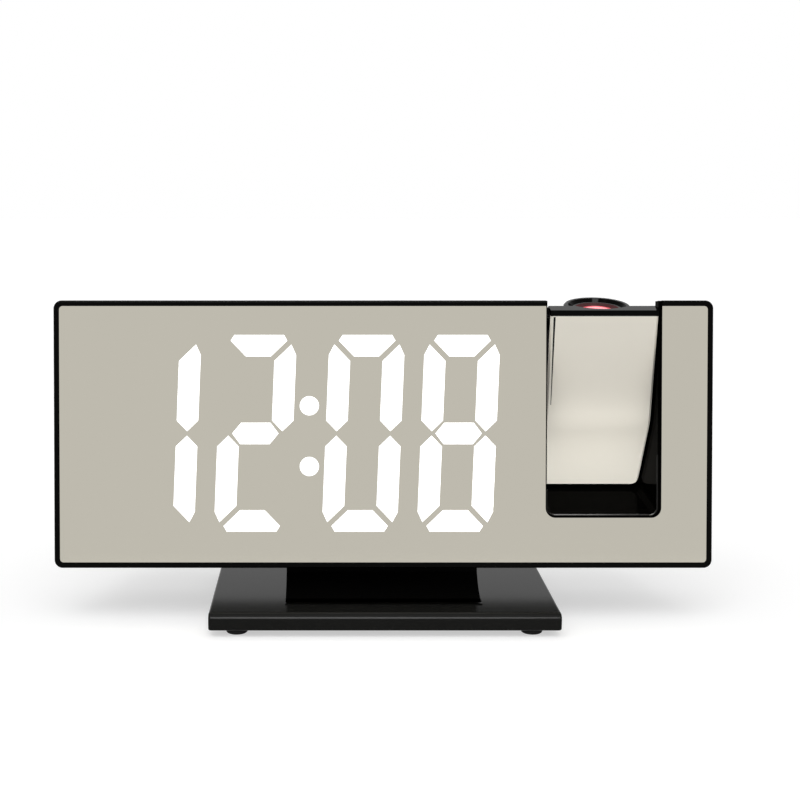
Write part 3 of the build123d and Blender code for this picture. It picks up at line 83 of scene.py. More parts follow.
class NodeBench:
    """Short-hand for building one material's node tree."""

    def __init__(self, name: str) -> None:
        """Start an empty material with its output.

        Args:
            name: name of the material.
        """
        self.material = bpy.data.materials.new(name)
        self.material.use_nodes = True
        self.tree = self.material.node_tree
        self.tree.nodes.clear()
        self.output = self.tree.nodes.new("ShaderNodeOutputMaterial")

    def add(self, kind: str, **values: object) -> bpy.types.Node:
        """Add a node.

        Args:
            kind: the node's type name after ShaderNode.
            values: properties of the node.

        Returns:
            The new node.
        """
        node = self.tree.nodes.new("ShaderNode" + kind)
        for key, value in values.items():
            setattr(node, key, value)
        return node

    def link(self, source: bpy.types.NodeSocket, target: bpy.types.NodeSocket) -> None:
        """Join two sockets."""
        self.tree.links.new(source, target)

    def noise(self, vector: bpy.types.NodeSocket, scale: float, detail: float) -> bpy.types.NodeSocket:
        """Add a noise pattern.

        Args:
            vector: coordinates of the pattern.
            scale: bumps per metre.
            detail: octaves of finer bumps.

        Returns:
            The pattern's value from 0 to 1.
        """
        node = self.add("TexNoise")
        node.inputs["Scale"].default_value = scale
        node.inputs["Detail"].default_value = detail
        self.link(vector, node.inputs["Vector"])
        return node.outputs["Fac"]

    def spread(self, value: bpy.types.NodeSocket, low: float, high: float) -> bpy.types.NodeSocket:
        """Map a value from 0 to 1 onto a range.

        Args:
            value: the value to map.
            low: result for 0.
            high: result for 1.

        Returns:
            The mapped value.
        """
        node = self.add("MapRange")
        node.inputs["To Min"].default_value = low
        node.inputs["To Max"].default_value = high
        self.link(value, node.inputs["Value"])
        return node.outputs["Result"]


@dataclass(frozen=True)
class Finish:
    """One finish of the clock, as a procedural material.

    Attributes:
        slot: name of the material.
        colour: its mean colour.
        roughness: its mean roughness.
        specular: strength of its reflections.
        metallic: 1 for bare metal, or else 0.
        grain: character of its fine pattern.
        grain_size: width of the pattern's spots, in millimetres.
        relief: how strongly the pattern stands out as bumps.
        swing: share by which the roughness varies.
        mottle: share by which the colour varies.
        glow: colour of its own light, if it has any.
        glow_strength: strength of that light.
        coat: weight of a clear coat.
        transmission: 1 for clear glass, or else 0.
        in_record: whether it is one of the record's slots; not used.
    """

    slot: str
    colour: Colour
    roughness: float
    specular: float = 0.5
    metallic: float = 0.0
    grain: Grain = Grain.POLISHED
    grain_size: float = 0.6
    relief: float = 0.0
    swing: float = 0.12
    mottle: float = 0.06
    glow: Optional[Colour] = None
    glow_strength: float = 1.0
    coat: float = 0.0
    transmission: float = 0.0
    in_record: bool = True

    def material(self) -> bpy.types.Material:
        """Build the finish.

        Returns:
            The finished material.
        """
        bench = NodeBench(self.slot)
        shader = bench.add("BsdfPrincipled")
        bench.link(shader.outputs["BSDF"], bench.output.inputs["Surface"])
        shader.inputs["Metallic"].default_value = self.metallic
        shader.inputs["Specular IOR Level"].default_value = self.specular
        shader.inputs["Coat Weight"].default_value = self.coat
        shader.inputs["Transmission Weight"].default_value = self.transmission
        if self.glow is not None:
            shader.inputs["Emission Color"].default_value = (*self.glow, 1)
            shader.inputs["Emission Strength"].default_value = self.glow_strength
        pattern = self.pattern(bench)
        low = max(self.roughness * (1 - self.swing), 0)
        high = min(self.roughness * (1 + self.swing), 1)
        bench.link(bench.spread(pattern, low, high), shader.inputs["Roughness"])
        ramp = bench.add("ValToRGB")
        for element, share in zip(ramp.color_ramp.elements, (1 - self.mottle, 1 + self.mottle)):
            element.color = (*(min(part * share, 1) for part in self.colour), 1)
        bench.link(pattern, ramp.inputs["Fac"])
        bench.link(ramp.outputs["Color"], shader.inputs["Base Color"])
        if self.relief > 0:
            bump = bench.add("Bump")
            bump.inputs["Strength"].default_value = self.relief
            bump.inputs["Distance"].default_value = self.grain_size * MM * BUMP_SHARE
            bench.link(pattern, bump.inputs["Height"])
            bench.link(bump.outputs["Normal"], shader.inputs["Normal"])
        return bench.material

    def pattern(self, bench: NodeBench) -> bpy.types.NodeSocket:
        """Add the grain's pattern in the object's own coordinates.

        Args:
            bench: the material being built.

        Returns:
            The pattern's value from 0 to 1.
        """
        place = bench.add("TexCoord").outputs["Object"]
        per_metre = 1 / (self.grain_size * MM)
        if self.grain is Grain.TRACKS:
            cells = bench.add("TexVoronoi", feature="DISTANCE_TO_EDGE", distance="MANHATTAN")
            cells.inputs["Scale"].default_value = per_metre
            bench.link(place, cells.inputs["Vector"])
            return cells.outputs["Distance"]
        if self.grain is Grain.BRUSHED:
            stretch = bench.add("Mapping")
            stretch.inputs["Scale"].default_value = BRUSH_STRETCH
            bench.link(place, stretch.inputs["Vector"])
            place = stretch.outputs["Vector"]
        return bench.noise(place, per_metre, OCTAVES[self.grain])


# Finishes of the black plastics and rubber
GLOSS_BLACK = Finish(
    "gloss_black", colour=(0.0013, 0.0013, 0.0011), roughness=0.08, specular=0.035, grain_size=9.0
)
BAY_BLACK = Finish(
    "bay_black", colour=(0.0013, 0.0013, 0.0011), roughness=0.12, specular=0.0008, grain_size=9.0
)
SATIN_BLACK = Finish(
    "satin_black",
    colour=(0.011, 0.011, 0.0105),
    roughness=0.46,
    specular=0.14,
    grain=Grain.SPARK,
    grain_size=0.28,
    relief=0.35,
)
STAND_BLACK = Finish(
    "stand_black",
    colour=(0.0085, 0.0085, 0.0078),
    roughness=0.16,
    specular=0.05,
    grain=Grain.SPARK,
    grain_size=0.35,
    relief=0.03,
)
# Painted shade: a darker, duller copy of the stand's black for the neck, which sits under the body.
NECK_PAINTED_SHADE = Finish(
    "neck_black", colour=(0.002, 0.002, 0.0018), roughness=0.2, specular=0.01, grain_size=9.0
)
SWITCH_BLACK = Finish(
    "switch_black",
    colour=(0.02, 0.02, 0.02),
    roughness=0.5,
    grain=Grain.SPARK,
    grain_size=0.3,
    relief=0.2,
)
KEY_GREY = Finish(
    "key_grey",
    colour=(0.028, 0.028, 0.028),
    roughness=0.45,
    specular=0.15,
    grain=Grain.SPARK,
    grain_size=0.22,
    relief=0.25,
)
RUBBER = Finish(
    "rubber",
    colour=(0.012, 0.012, 0.012),
    roughness=0.8,
    specular=0.2,
    grain=Grain.SPARK,
    grain_size=0.3,
    relief=0.4,
)

# Finishes of the mirrors, the display and the optics
HALF_MIRROR = Finish(
    "half_mirror",
    colour=(0.515, 0.491, 0.423),
    roughness=0.05,
    metallic=1.0,
    grain_size=30.0,
    mottle=0.01,
    swing=0.2,
)
HEAD_MIRROR = Finish(
    "head_mirror",
    colour=(0.93, 0.887, 0.783),
    roughness=0.3,
    specular=0.1,
    grain_size=20.0,
    mottle=0.01,
)
WHITE_LIGHT = Finish(
    "white_light",
    colour=(0.9, 0.9, 0.9),
    roughness=0.3,
    grain_size=2.0,
    mottle=0.02,
    glow=(1.0, 1.0, 1.0),
    glow_strength=1.0,
)
UNLIT_BAR = Finish("unlit_bar", colour=(0.05, 0.05, 0.048), roughness=0.4, grain_size=1.0)
# Painted light: the lens is no lamp, and its red glow stands in for the light of the red lamp behind
# it shining through.
LENS_WITH_PAINTED_GLOW = Finish(
    "lens_glass",
    colour=(0.95, 0.2, 0.22),
    roughness=0.05,
    grain_size=4.0,
    glow=(0.95, 0.13, 0.17),
    glow_strength=0.9,
    coat=0.5,
)
CLEAR_GLASS = Finish(
    "clear_glass", colour=(0.93, 0.95, 0.95), roughness=0.03, grain_size=4.0, transmission=1.0
)
RED_RESIN = Finish(
    "red_resin",
    colour=(0.9, 0.05, 0.06),
    roughness=0.15,
    grain_size=1.0,
    glow=(1.0, 0.08, 0.1),
    glow_strength=2.0,
)

# Finishes of the boards and the metal
BOARD_GREEN = Finish(
    "board_green",
    colour=(0.03, 0.16, 0.07),
    roughness=0.35,
    grain=Grain.TRACKS,
    grain_size=3.0,
    mottle=0.3,
    relief=0.1,
)
CHIP_CREAM = Finish("chip_cream", colour=(0.85, 0.8, 0.6), roughness=0.25, grain_size=0.5)
STEEL = Finish(
    "steel",
    colour=(0.62, 0.61, 0.59),
    roughness=0.3,
    metallic=1.0,
    grain=Grain.BRUSHED,
    grain_size=0.25,
    relief=0.1,
)
DARK_STEEL = Finish(
    "dark_steel",
    colour=(0.06, 0.06, 0.06),
    roughness=0.35,
    metallic=1.0,
    grain=Grain.BRUSHED,
    grain_size=0.2,
    relief=0.1,
)

# Finishes of the small trim
LIP_BLACK = Finish(
    "lip_black",
    colour=(0.002, 0.002, 0.0018),
    roughness=0.1,
    specular=0.2,
    grain_size=2.0,
    in_record=False,
)
# Black painted over shade and a dark reflection: the shade in the screws' cross recesses, and the
# strip on the head's plate.
PAINTED_SHADE_AND_REFLECTION = Finish(
    "painted_shade_and_reflection",
    colour=(0.004, 0.004, 0.004),
    roughness=0.6,
    specular=0.2,
    grain_size=0.5,
    in_record=False,
)
MARK_GREY = Finish(
    "mark_grey",
    colour=(0.4, 0.4, 0.39),
    roughness=0.5,
    grain=Grain.SPARK,
    grain_size=0.2,
    relief=0.1,
    in_record=False,
)

FINISH_OF_NODE: dict[str, Finish] = {
    "front_frame": GLOSS_BLACK,
    "mirror_panel": HALF_MIRROR,
    "projector_bay": BAY_BLACK,
    "rear_housing": SATIN_BLACK,
    "segment_block": SWITCH_BLACK,
    "lit_segments": WHITE_LIGHT,
    "unlit_segments": UNLIT_BAR,
    "display_board": BOARD_GREEN,
    "display_chips": CHIP_CREAM,
    "control_board": BOARD_GREEN,
    "board_screws": STEEL,
    "key_switches": SWITCH_BLACK,
    "snooze_switch": SWITCH_BLACK,
    "snooze_bar": KEY_GREY,
    "buzzer": SWITCH_BLACK,
    "power_inlet": STEEL,
    "coin_cell": STEEL,
    "cell_contacts": STEEL,
    "battery_door": SATIN_BLACK,
    "housing_screws": DARK_STEEL,
    "stand_screws": DARK_STEEL,
    "bay_screws": STEEL,
    "set_button": KEY_GREY,
    "alarm_button": KEY_GREY,
    "hour_button": KEY_GREY,
    "minute_button": KEY_GREY,
    "projector_button": KEY_GREY,
    "head_shell": GLOSS_BLACK,
    "head_face": HEAD_MIRROR,
    "pivot_pins": STEEL,
    "focus_ring": GLOSS_BLACK,
    "lens_carrier": SWITCH_BLACK,
    "projection_lens": LENS_WITH_PAINTED_GLOW,
    "lamp_board": BOARD_GREEN,
    "red_lamp": RED_RESIN,
    "optic_spacers": SWITCH_BLACK,
    "condenser_lens": CLEAR_GLASS,
    "time_slide": CLEAR_GLASS,
    "stand_base": STAND_BLACK,
    "stand_neck": NECK_PAINTED_SHADE,
    "ballast_plate": STEEL,
    "base_screws": DARK_STEEL,
    "base_feet": RUBBER,
}


class Palette:
    """Materials of the clock, each made once."""

    def __init__(self) -> None:
        """Start with no materials."""
        self.made: dict[str, bpy.types.Material] = {}

    def of(self, finish: Finish) -> bpy.types.Material:
        """Give a finish's material.

        Args:
            finish: the finish that is wanted.

        Returns:
            The material, made on first use.
        """
        if finish.slot not in self.made:
            self.made[finish.slot] = finish.material()
        return self.made[finish.slot]

    def dress(self, piece: bpy.types.Object, finish: Finish) -> None:
        """Give a piece one finish all over."""
        piece.data.materials.clear()
        piece.data.materials.append(self.of(finish))


def joint(name: str) -> dict:
    """Find a joint of the frame by its name."""
    return next(row for row in frame["joints"] if row["name"] == name)


def box_of(points: list[Vector]) -> Box:
    """Find the box around some points.

    Args:
        points: the points.

    Returns:
        The lowest and the highest corner.
    """
    low = Vector(min(point[axis] for point in points) for axis in range(3))
    high = Vector(max(point[axis] for point in points) for axis in range(3))
    return low, high


def solids_of(mesh: bmesh.types.BMesh) -> list[Verts]:
    """Sort the vertices of a mesh by the solid that they belong to.

    Args:
        mesh: the mesh of one or more closed solids.

    Returns:
        One list of vertices for each solid.
    """
    waiting = dict.fromkeys(mesh.verts)
    solids = []
    while waiting:
        solid = [waiting.popitem()[0]]
        for vertex in solid:
            for edge in vertex.link_edges:
                beside = edge.other_vert(vertex)
                if beside in waiting:
                    del waiting[beside]
                    solid.append(beside)
        solids.append(solid)
    return solids


@dataclass(frozen=True)
class PartSpace:
    """Own coordinates of a tilted part of the clock, in millimetres."""

    matrix: Matrix

    def points(self, node: str) -> list[Vector]:
        """Give the points of a CAD node in these coordinates."""
        back = self.matrix.inverted()
        return [back @ vertex.co for vertex in frame["nodes"][node].data.vertices]

    def extent(self, node: str) -> Box:
        """Give the box of a CAD node in these coordinates."""
        return box_of(self.points(node))

    def cap(self, node: str, axis: int) -> Box:
        """Measure the outermost flat face of a CAD node.

        Args:
            node: name of the node.
            axis: 0, 1 or 2 for the direction that the face looks to.

        Returns:
            The box of the points in that face.
        """
        points = self.points(node)
        level = max(point[axis] for point in points) - CAP_DEPTH
        return box_of([point for point in points if point[axis] > level])

    def welded(self, node: str) -> bmesh.types.BMesh:
        """Copy a CAD node into these coordinates as closed solids.

        Args:
            node: name of the node.

        Returns:
            The copy, which the caller frees.
        """
        mesh = bmesh.new()
        mesh.from_mesh(frame["nodes"][node].data)
        bmesh.ops.transform(mesh, matrix=self.matrix.inverted(), verts=mesh.verts)
        bmesh.ops.remove_doubles(mesh, verts=mesh.verts, dist=WELD)
        return mesh

    def islands(self, node: str) -> list[Box]:
        """Measure the separate solids of a CAD node.

        Args:
            node: name of the node.

        Returns:
            One box for each solid.
        """
        mesh = self.welded(node)
        boxes = [box_of([vertex.co.copy() for vertex in solid]) for solid in solids_of(mesh)]
        mesh.free()
        return boxes


def tilted_space(tilt: float) -> PartSpace:
    """Make coordinates that are tipped about the X axis.

    Args:
        tilt: turn about X in radians.

    Returns:
        The tipped space, with its origin at the head's pivot.
    """
    origin = Vector(joint("head_tilt")["pos_m"])
    return PartSpace(Matrix.Translation(origin) @ Matrix.Rotation(tilt, 4, "X") @ Matrix.Scale(MM, 4))


def body_space() -> PartSpace:
    """Coordinates of the leaning body: X right, Y behind the face, Z up the face."""
    inward = Vector(joint("set_button_press")["axis"])
    return tilted_space(-math.atan2(inward.z, -inward.y))


def head_space() -> PartSpace:
    """Coordinates of the projector head: Z up its barrel."""
    barrel = Vector(joint("focus_turn")["axis"])
    return tilted_space(math.atan2(-barrel.y, barrel.z))


def snooze_space() -> PartSpace:
    """Coordinates of the snooze bar: Z out of the housing's sloping top."""
    down = Vector(joint("snooze_press")["axis"])
    return tilted_space(math.atan2(down.y, -down.z))


def under_space() -> PartSpace:
    """Coordinates of the stand's underside: Y down, Z to the front."""
    return PartSpace(Matrix.Rotation(-QUARTER_TURN, 4, "X") @ Matrix.Scale(MM, 4))


def finish_piece(mesh: bmesh.types.BMesh, name: str, place: Matrix) -> bpy.types.Object:
    """Turn a bmesh into an object at the origin.

    Args:
        mesh: the shape, which is freed.
        name: name of the piece.
        place: from the shape's coordinates to the frame.

    Returns:
        The new piece, with its place in its mesh.
    """
    bmesh.ops.remove_doubles(mesh, verts=mesh.verts, dist=WELD)
    bmesh.ops.recalc_face_normals(mesh, faces=mesh.faces)
    bmesh.ops.transform(mesh, matrix=place, verts=mesh.verts)
    data = bpy.data.meshes.new(name)
    mesh.to_mesh(data)
    mesh.free()
    piece = bpy.data.objects.new(name, data)
    bpy.context.scene.collection.objects.link(piece)
    return piece


def pick(items: list, kind: type) -> list:
    """Keep the elements of one kind out of an operator's result."""
    return [item for item in items if isinstance(item, kind)]


def polygon(sides: int, radius: float, x: float = 0.0, z: float = 0.0) -> Outline:
    """Draw a regular outline.

    Args:
        sides: number of corners.
        radius: distance of the corners from the middle.
        x: middle of the outline.
        z: middle of the outline.

    Returns:
        The outline's corners.
    """
    steps = [2 * math.pi * index / sides for index in range(sides)]
    return [(x + radius * math.sin(step), z + radius * math.cos(step)) for step in steps]


def mirrored(side: tuple[Spot, ...]) -> Outline:
    """Draw an outline from its right side and the same side turned over."""
    return [(-x, z) for x, z in side] + list(side[::-1])


def shifted(outline: Outline, middle: Vector) -> Outline:
    """Move an outline to a middle."""
    return [(middle.x + x, middle.z + z) for x, z in outline]


def add_prism(mesh: bmesh.types.BMesh, outline: Outline, near: float, far: float) -> None:
    """Add a straight prism along Y.

    Args:
        mesh: the shape that takes the prism.
        outline: corners in X and Z.
        near: Y of its first end.
        far: Y of its other end.
    """
    face = mesh.faces.new([mesh.verts.new((x, near, z)) for x, z in outline])
    grown = bmesh.ops.extrude_face_region(mesh, geom=[face])["geom"]
    bmesh.ops.translate(mesh, vec=(0, far - near, 0), verts=pick(grown, bmesh.types.BMVert))


@dataclass
class Detail:
    """Small pieces added to one part of the clock, with their sizes in millimetres.

    Attributes:
        space: coordinates of the part.
        palette: materials of the clock.
    """

    space: PartSpace
    palette: Palette

    def add(self, mesh: bmesh.types.BMesh, name: str, body: str, finish: Finish) -> None:
        """Turn a shape into a dressed piece that rides a body.

        Args:
            mesh: the shape in this part's coordinates, which is freed.
            name: name of the piece.
            body: body that carries it.
            finish: its finish.
        """
        piece = finish_piece(mesh, name, self.space.matrix)
        self.palette.dress(piece, finish)
        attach(piece, body)
        LOG.info("built %s", name)


@dataclass
class Display(Detail):
    """Light of the lit bars on the mirror's face.

    Attributes:
        film: how far the light stands off the face.
        sink: how far it reaches into the panel.
        slender: length in widths past which a bar counts as level or upright.
        tip_reach: how far the outer tip of an upright bar is drawn out.
        bar_reach: how far each end of a level bar is drawn out.
    """

    film: float = 0.1
    sink: float = 0.03
    slender: float = 1.5
    tip_reach: float = 0.8
    bar_reach: float = 0.2

    def build(self) -> None:
        """Flatten the lit bars onto the panel's face, with sharp outer tips."""
        low, high = self.space.extent("lit_segments")
        face = self.space.extent("mirror_panel")[0].y
        mesh = self.space.welded("lit_segments")
        bmesh.ops.dissolve_limit(mesh, angle_limit=FLAT_ANGLE, verts=mesh.verts, edges=mesh.edges)
        depth = (self.film + self.sink) / (high.y - low.y)
        bmesh.ops.translate(mesh, vec=(0, -low.y, 0), verts=mesh.verts)
        bmesh.ops.scale(mesh, vec=(1, depth, 1), verts=mesh.verts)
        bmesh.ops.translate(mesh, vec=(0, face - self.film, 0), verts=mesh.verts)
        for bar in solids_of(mesh):
            self.sharpen(bar, (low.z + high.z) / 2)
        self.add(mesh, "digit_lights", "clock_body", WHITE_LIGHT)

    def sharpen(self, bar: Verts, waist: float) -> None:
        """Draw out the ends of a level bar, or the outer tip of an upright one along its mitre.

        Args:
            bar: vertices of the bar.
            waist: height of the digits' middle.
        """
        low, high = box_of([vertex.co.copy() for vertex in bar])
        width = high.x - low.x
        height = high.z - low.z
        middle = (low + high) / 2
        if width > self.slender * height:
            for vertex in bar:
                vertex.co.x += math.copysign(self.bar_reach, vertex.co.x - middle.x)
        if height > self.slender * width:
            end = high.z if middle.z > waist else low.z
            for vertex in [item for item in bar if abs(item.co.z - end) < CAP_DEPTH]:
                mitre = max(vertex.link_edges, key=lambda edge: edge.calc_length())
                away = vertex.co - mitre.other_vert(vertex).co
                vertex.co += away.normalized() * self.tip_reach


@dataclass
class BayLip(Detail):
    """Round bead along the foot of the projector bay's opening.

    Attributes:
        radius: half the bead's thickness.
        left_rise: straight run up the left side.
        right_rise: straight run up the right side.
        sides: flats around the bead.
        steps: parts of each rounded corner.
    """

    radius: float = 0.24
    left_rise: float = 5.0
    right_rise: float = 15.0
    sides: int = 12
    steps: int = 8

    def build(self) -> None:
        """Sweep the bead down the left side, along the foot and up the right side."""
        points = self.space.points("projector_bay")
        front = min(point.y for point in points)
        edge = [point for point in points if point.y < front + CAP_DEPTH]
        top = max(point.z for point in edge)
        side = min(abs(point.x) for point in edge if point.z > top - CAP_DEPTH)
        foot = min(edge, key=lambda point: abs(point.x))
        hub = abs(foot.x)
        level = foot.z + side - hub
        mesh = bmesh.new()
        start = Matrix.Translation((-side, front, level + self.left_rise))
        bmesh.ops.create_circle(mesh, segments=self.sides, radius=self.radius, matrix=start)
        ends = self.run(mesh, list(mesh.edges), Vector((0, 0, -self.left_rise)))
        ends = self.turn(mesh, ends, Vector((-hub, front, level)))
        ends = self.run(mesh, ends, Vector((2 * hub, 0, 0)))
        ends = self.turn(mesh, ends, Vector((hub, front, level)))
        self.run(mesh, ends, Vector((0, 0, self.right_rise)))
        bmesh.ops.holes_fill(mesh, edges=[item for item in mesh.edges if item.is_boundary])
        self.add(mesh, "bay_lip", "clock_body", LIP_BLACK)

    def run(self, mesh: bmesh.types.BMesh, ends: Edges, way: Vector) -> Edges:
        """Lengthen the bead straight on.

        Args:
            mesh: the bead.
            ends: edges of its open end.
            way: how far the end moves.

        Returns:
            The edges of the new open end.
        """
        grown = bmesh.ops.extrude_edge_only(mesh, edges=ends)["geom"]
        moved = set(pick(grown, bmesh.types.BMVert))
        bmesh.ops.translate(mesh, vec=way, verts=list(moved))
        return [edge for edge in pick(grown, bmesh.types.BMEdge) if moved.issuperset(edge.verts)]

    def turn(self, mesh: bmesh.types.BMesh, ends: Edges, hub: Vector) -> Edges:
        """Bend the bead through a quarter turn.

        Args:
            mesh: the bead.
            ends: edges of its open end.
            hub: centre of the bend.

        Returns:
            The edges of the new open end.
        """
        grown = bmesh.ops.spin(
            mesh,
            geom=ends,
            cent=hub,
            axis=(0, 1, 0),
            angle=-QUARTER_TURN,
            steps=self.steps,
            use_duplicate=False,
        )
        return pick(grown["geom_last"], bmesh.types.BMEdge)


@dataclass
class PaintedPlateReflection(Detail):
    """Painted dark reflection inside the left edge of the head's plate, where its rounded edge mirrors
    the dark bay wall.

    Attributes:
        top_inset: from the plate's edge to the strip's top end.
        top_width: width of the top end.
        foot_inset: from the plate's edge to the strip's foot.
        foot_width: width of the foot.
        top_margin: from the plate's top to the strip.
        length: height of the strip.
        proud: how far it stands off the plate, so that it shows.
        sink: how far it reaches into the plate.
    """

    top_inset: float = 0.8
    top_width: float = 0.6
    foot_inset: float = 1.25
    foot_width: float = 0.16
    top_margin: float = 0.25
    length: float = 26.0
    proud: float = 0.02
    sink: float = 0.1

    def build(self) -> None:
        """Lay the painted reflection on the upper half of the plate."""
        low, high = self.space.extent("head_face")
        top = high.z - self.top_margin
        foot = top - self.length
        outline = [
            (low.x + self.top_inset, top),
            (low.x + self.top_inset + self.top_width, top),
            (low.x + self.foot_inset + self.foot_width, foot),
            (low.x + self.foot_inset, foot),
        ]
        mesh = bmesh.new()
        add_prism(mesh, outline, low.y + self.sink, low.y - self.proud)
        # A thin black strip: painted dark reflection of the bay wall, on the left edge only.
        self.add(mesh, "plate_painted_reflection", "projector_head", PAINTED_SHADE_AND_REFLECTION)


@dataclass
class FocusGrip(Detail):
    """Fine upright ribs around the focus ring.

    Attributes:
        count: number of ribs.
        radius: half a rib's thickness.
        sides: flats around a rib.
        proud: how far the ribs stand off the ring.
        low: height of their feet above the pivot.
        top_margin: from the ring's top to the ribs.
    """

    count: int = 48
    radius: float = 0.24
    sides: int = 10
    proud: float = 0.14
    low: float = 1.3
    top_margin: float = 1.0

    def build(self) -> None:
        """Set the ribs around the ring's side."""
        top = self.space.extent("focus_ring")[1]
        middle = top.x - self.radius + self.proud
        height = top.z - self.top_margin - self.low
        mesh = bmesh.new()
        for index in range(self.count):
            place = Matrix.Rotation(2 * math.pi * index / self.count, 4, "Z")
            place @= Matrix.Translation((middle, 0, self.low + height / 2))
            bmesh.ops.create_cone(
                mesh,
                cap_ends=True,
                segments=self.sides,
                radius1=self.radius,
                radius2=self.radius,
                depth=height,
                matrix=place,
            )
        self.add(mesh, "focus_grip", "focus_ring", GLOSS_BLACK)


@dataclass
class SnoozeGrip(Detail):
    """Low rounded bars across the top of the snooze bar.

    Attributes:
        count: number of bars.
        pitch: from one bar to the next.
        width: width of a bar.
        share: length of a bar as a share of the top's depth.
        proud: how far the bars stand off the top.
        sink: how far they reach into it.
        edge: radius of their rounded edges.
        edge_steps: parts of each rounded edge.
    """

    count: int = 7
    pitch: float = 2.6
    width: float = 1.0
    share: float = 0.6
    proud: float = 0.3
    sink: float = 0.2
    edge: float = 0.22
    edge_steps: int = 3

    def build(self) -> None:
        """Set the bars side by side on the top face."""
        low, high = self.space.cap("snooze_bar", 2)
        middle = (low + high) / 2
        length = (high.y - low.y) * self.share
        mesh = bmesh.new()
        for index in range(self.count):
            x = middle.x + (index - (self.count - 1) / 2) * self.pitch
            place = Matrix.Translation((x, middle.y, high.z + (self.proud - self.sink) / 2))
            size = Matrix.Diagonal((self.width, length, self.proud + self.sink, 1))
            bmesh.ops.create_cube(mesh, size=1, matrix=place @ size)
        bmesh.ops.bevel(
            mesh,
            geom=mesh.edges,
            offset=self.edge,
            segments=self.edge_steps,
            profile=0.5,
            affect="EDGES",
            material=-1,
        )
        self.add(mesh, "snooze_grip", "snooze_bar", KEY_GREY)


class KeySign(Enum):
    """Plain sign on a button, by the button's name."""

    SETTING = "set_button"
    BELL = "alarm_button"
    UP = "hour_button"
    DOWN = "minute_button"
    TORCH = "projector_button"


@dataclass
class KeyMarks(Detail):
    """Raised signs on the buttons at the back.

    Attributes:
        proud: how far a sign stands off its button.
        sink: how far it reaches into the button.
        arrow: radius of an arrow's corners.
        dot: radius of the three dots for setting.
        dot_pitch: from one dot to the next.
        dot_sides: corners of a dot.
        bell_side: right side of the bell, from its rim up.
        clapper: radius of the bell's clapper.
        clapper_drop: from the sign's middle down to the clapper.
        torch_side: right side of the torch, from its foot up.
        knob: radius of the torch's knob.
        knob_drop: from the sign's middle down to the knob.
        knob_sides: corners of the clapper and of the knob.
    """

    proud: float = 0.12
    sink: float = 0.1
    arrow: float = 1.05
    dot: float = 0.3
    dot_pitch: float = 0.9
    dot_sides: int = 20
    bell_side: tuple[Spot, ...] = ((0.95, -0.45), (0.6, 0.0), (0.52, 0.55), (0.26, 0.95))
    clapper: float = 0.24
    clapper_drop: float = 0.8
    torch_side: tuple[Spot, ...] = ((0.3, -0.5), (0.95, 1.0))
    knob: float = 0.26
    knob_drop: float = 0.9
    knob_sides: int = 16

    def build(self) -> None:
        """Set one sign on each button's face."""
        for sign in KeySign:
            low, high = self.space.cap(sign.value, 1)
            middle = (low + high) / 2
            mesh = bmesh.new()
            for outline in self.outlines(sign):
                add_prism(mesh, shifted(outline, middle), high.y - self.sink, high.y + self.proud)
            self.add(mesh, sign.value.replace("button", "sign"), sign.value, MARK_GREY)

    def outlines(self, sign: KeySign) -> list[Outline]:
        """Draw a sign about its middle.

        Args:
            sign: the sign that is wanted.

        Returns:
            The sign's outlines.
        """
        if sign is KeySign.SETTING:
            places = (-self.dot_pitch, 0.0, self.dot_pitch)
            return [polygon(self.dot_sides, self.dot, x) for x in places]
        if sign is KeySign.BELL:
            clapper = polygon(self.knob_sides, self.clapper, z=-self.clapper_drop)
            return [mirrored(self.bell_side), clapper]
        if sign is KeySign.TORCH:
            knob = polygon(self.knob_sides, self.knob, z=-self.knob_drop)
            return [mirrored(self.torch_side), knob]
        arrow = polygon(TRIANGLE, self.arrow)
        if sign is KeySign.UP:
            return [arrow]
        return [[(x, -z) for x, z in arrow]]


@dataclass
class DoorMarks(Detail):
    """Arrow on the battery door, with a dot at its closed and open places.

    Attributes:
        proud: how far the marks stand off the surface.
        sink: how far they reach into it.
        arrow: radius of the arrow's corners.
        arrow_share: place of the arrow as a share of the door's radius.
        closed_dot: radius of the dot for the closed door.
        open_dot: radius of the dot for the open door.
        dot_gap: from the door's edge to the dots.
        dot_sides: corners of a dot.
    """

    proud: float = 0.12
    sink: float = 0.1
    arrow: float = 1.7
    arrow_share: float = 0.66
    closed_dot: float = 0.7
    open_dot: float = 0.35
    dot_gap: float = 2.4
    dot_sides: int = 20

    def build(self) -> None:
        """Set the arrow on the door and the dots beside it."""
        low, high = self.space.cap("battery_door", 1)
        radius = (high.x - low.x) / 2
        middle = (low + high) / 2
        mesh = bmesh.new()
        arrow = polygon(TRIANGLE, self.arrow, z=radius * self.arrow_share)
        add_prism(mesh, shifted(arrow, middle), high.y - self.sink, high.y + self.proud)
        self.add(mesh, "door_arrow", "battery_door", MARK_GREY)
        wall = self.space.extent("rear_housing")[1].y
        closed = Vector((0, 0, 1))
        mesh = bmesh.new()
        for way, size in ((closed, self.closed_dot), (self.opened(closed), self.open_dot)):
            place = middle + way * (radius + self.dot_gap)
            dot = polygon(self.dot_sides, size)
            add_prism(mesh, shifted(dot, place), wall - self.sink, wall + self.proud)
        self.add(mesh, "door_dots", "clock_body", MARK_GREY)

    def opened(self, closed: Vector) -> Vector:
        """Find where the arrow points on the open door.

        Args:
            closed: where it points on the closed door.

        Returns:
            The direction in this part's coordinates.
        """
        row = joint("battery_door_turn")
        turn = Matrix.Rotation(math.radians(row["range_deg"][1]), 3, Vector(row["axis"]))
        lean = self.space.matrix.to_3x3()
        return lean.inverted() @ (turn @ (lean @ closed))


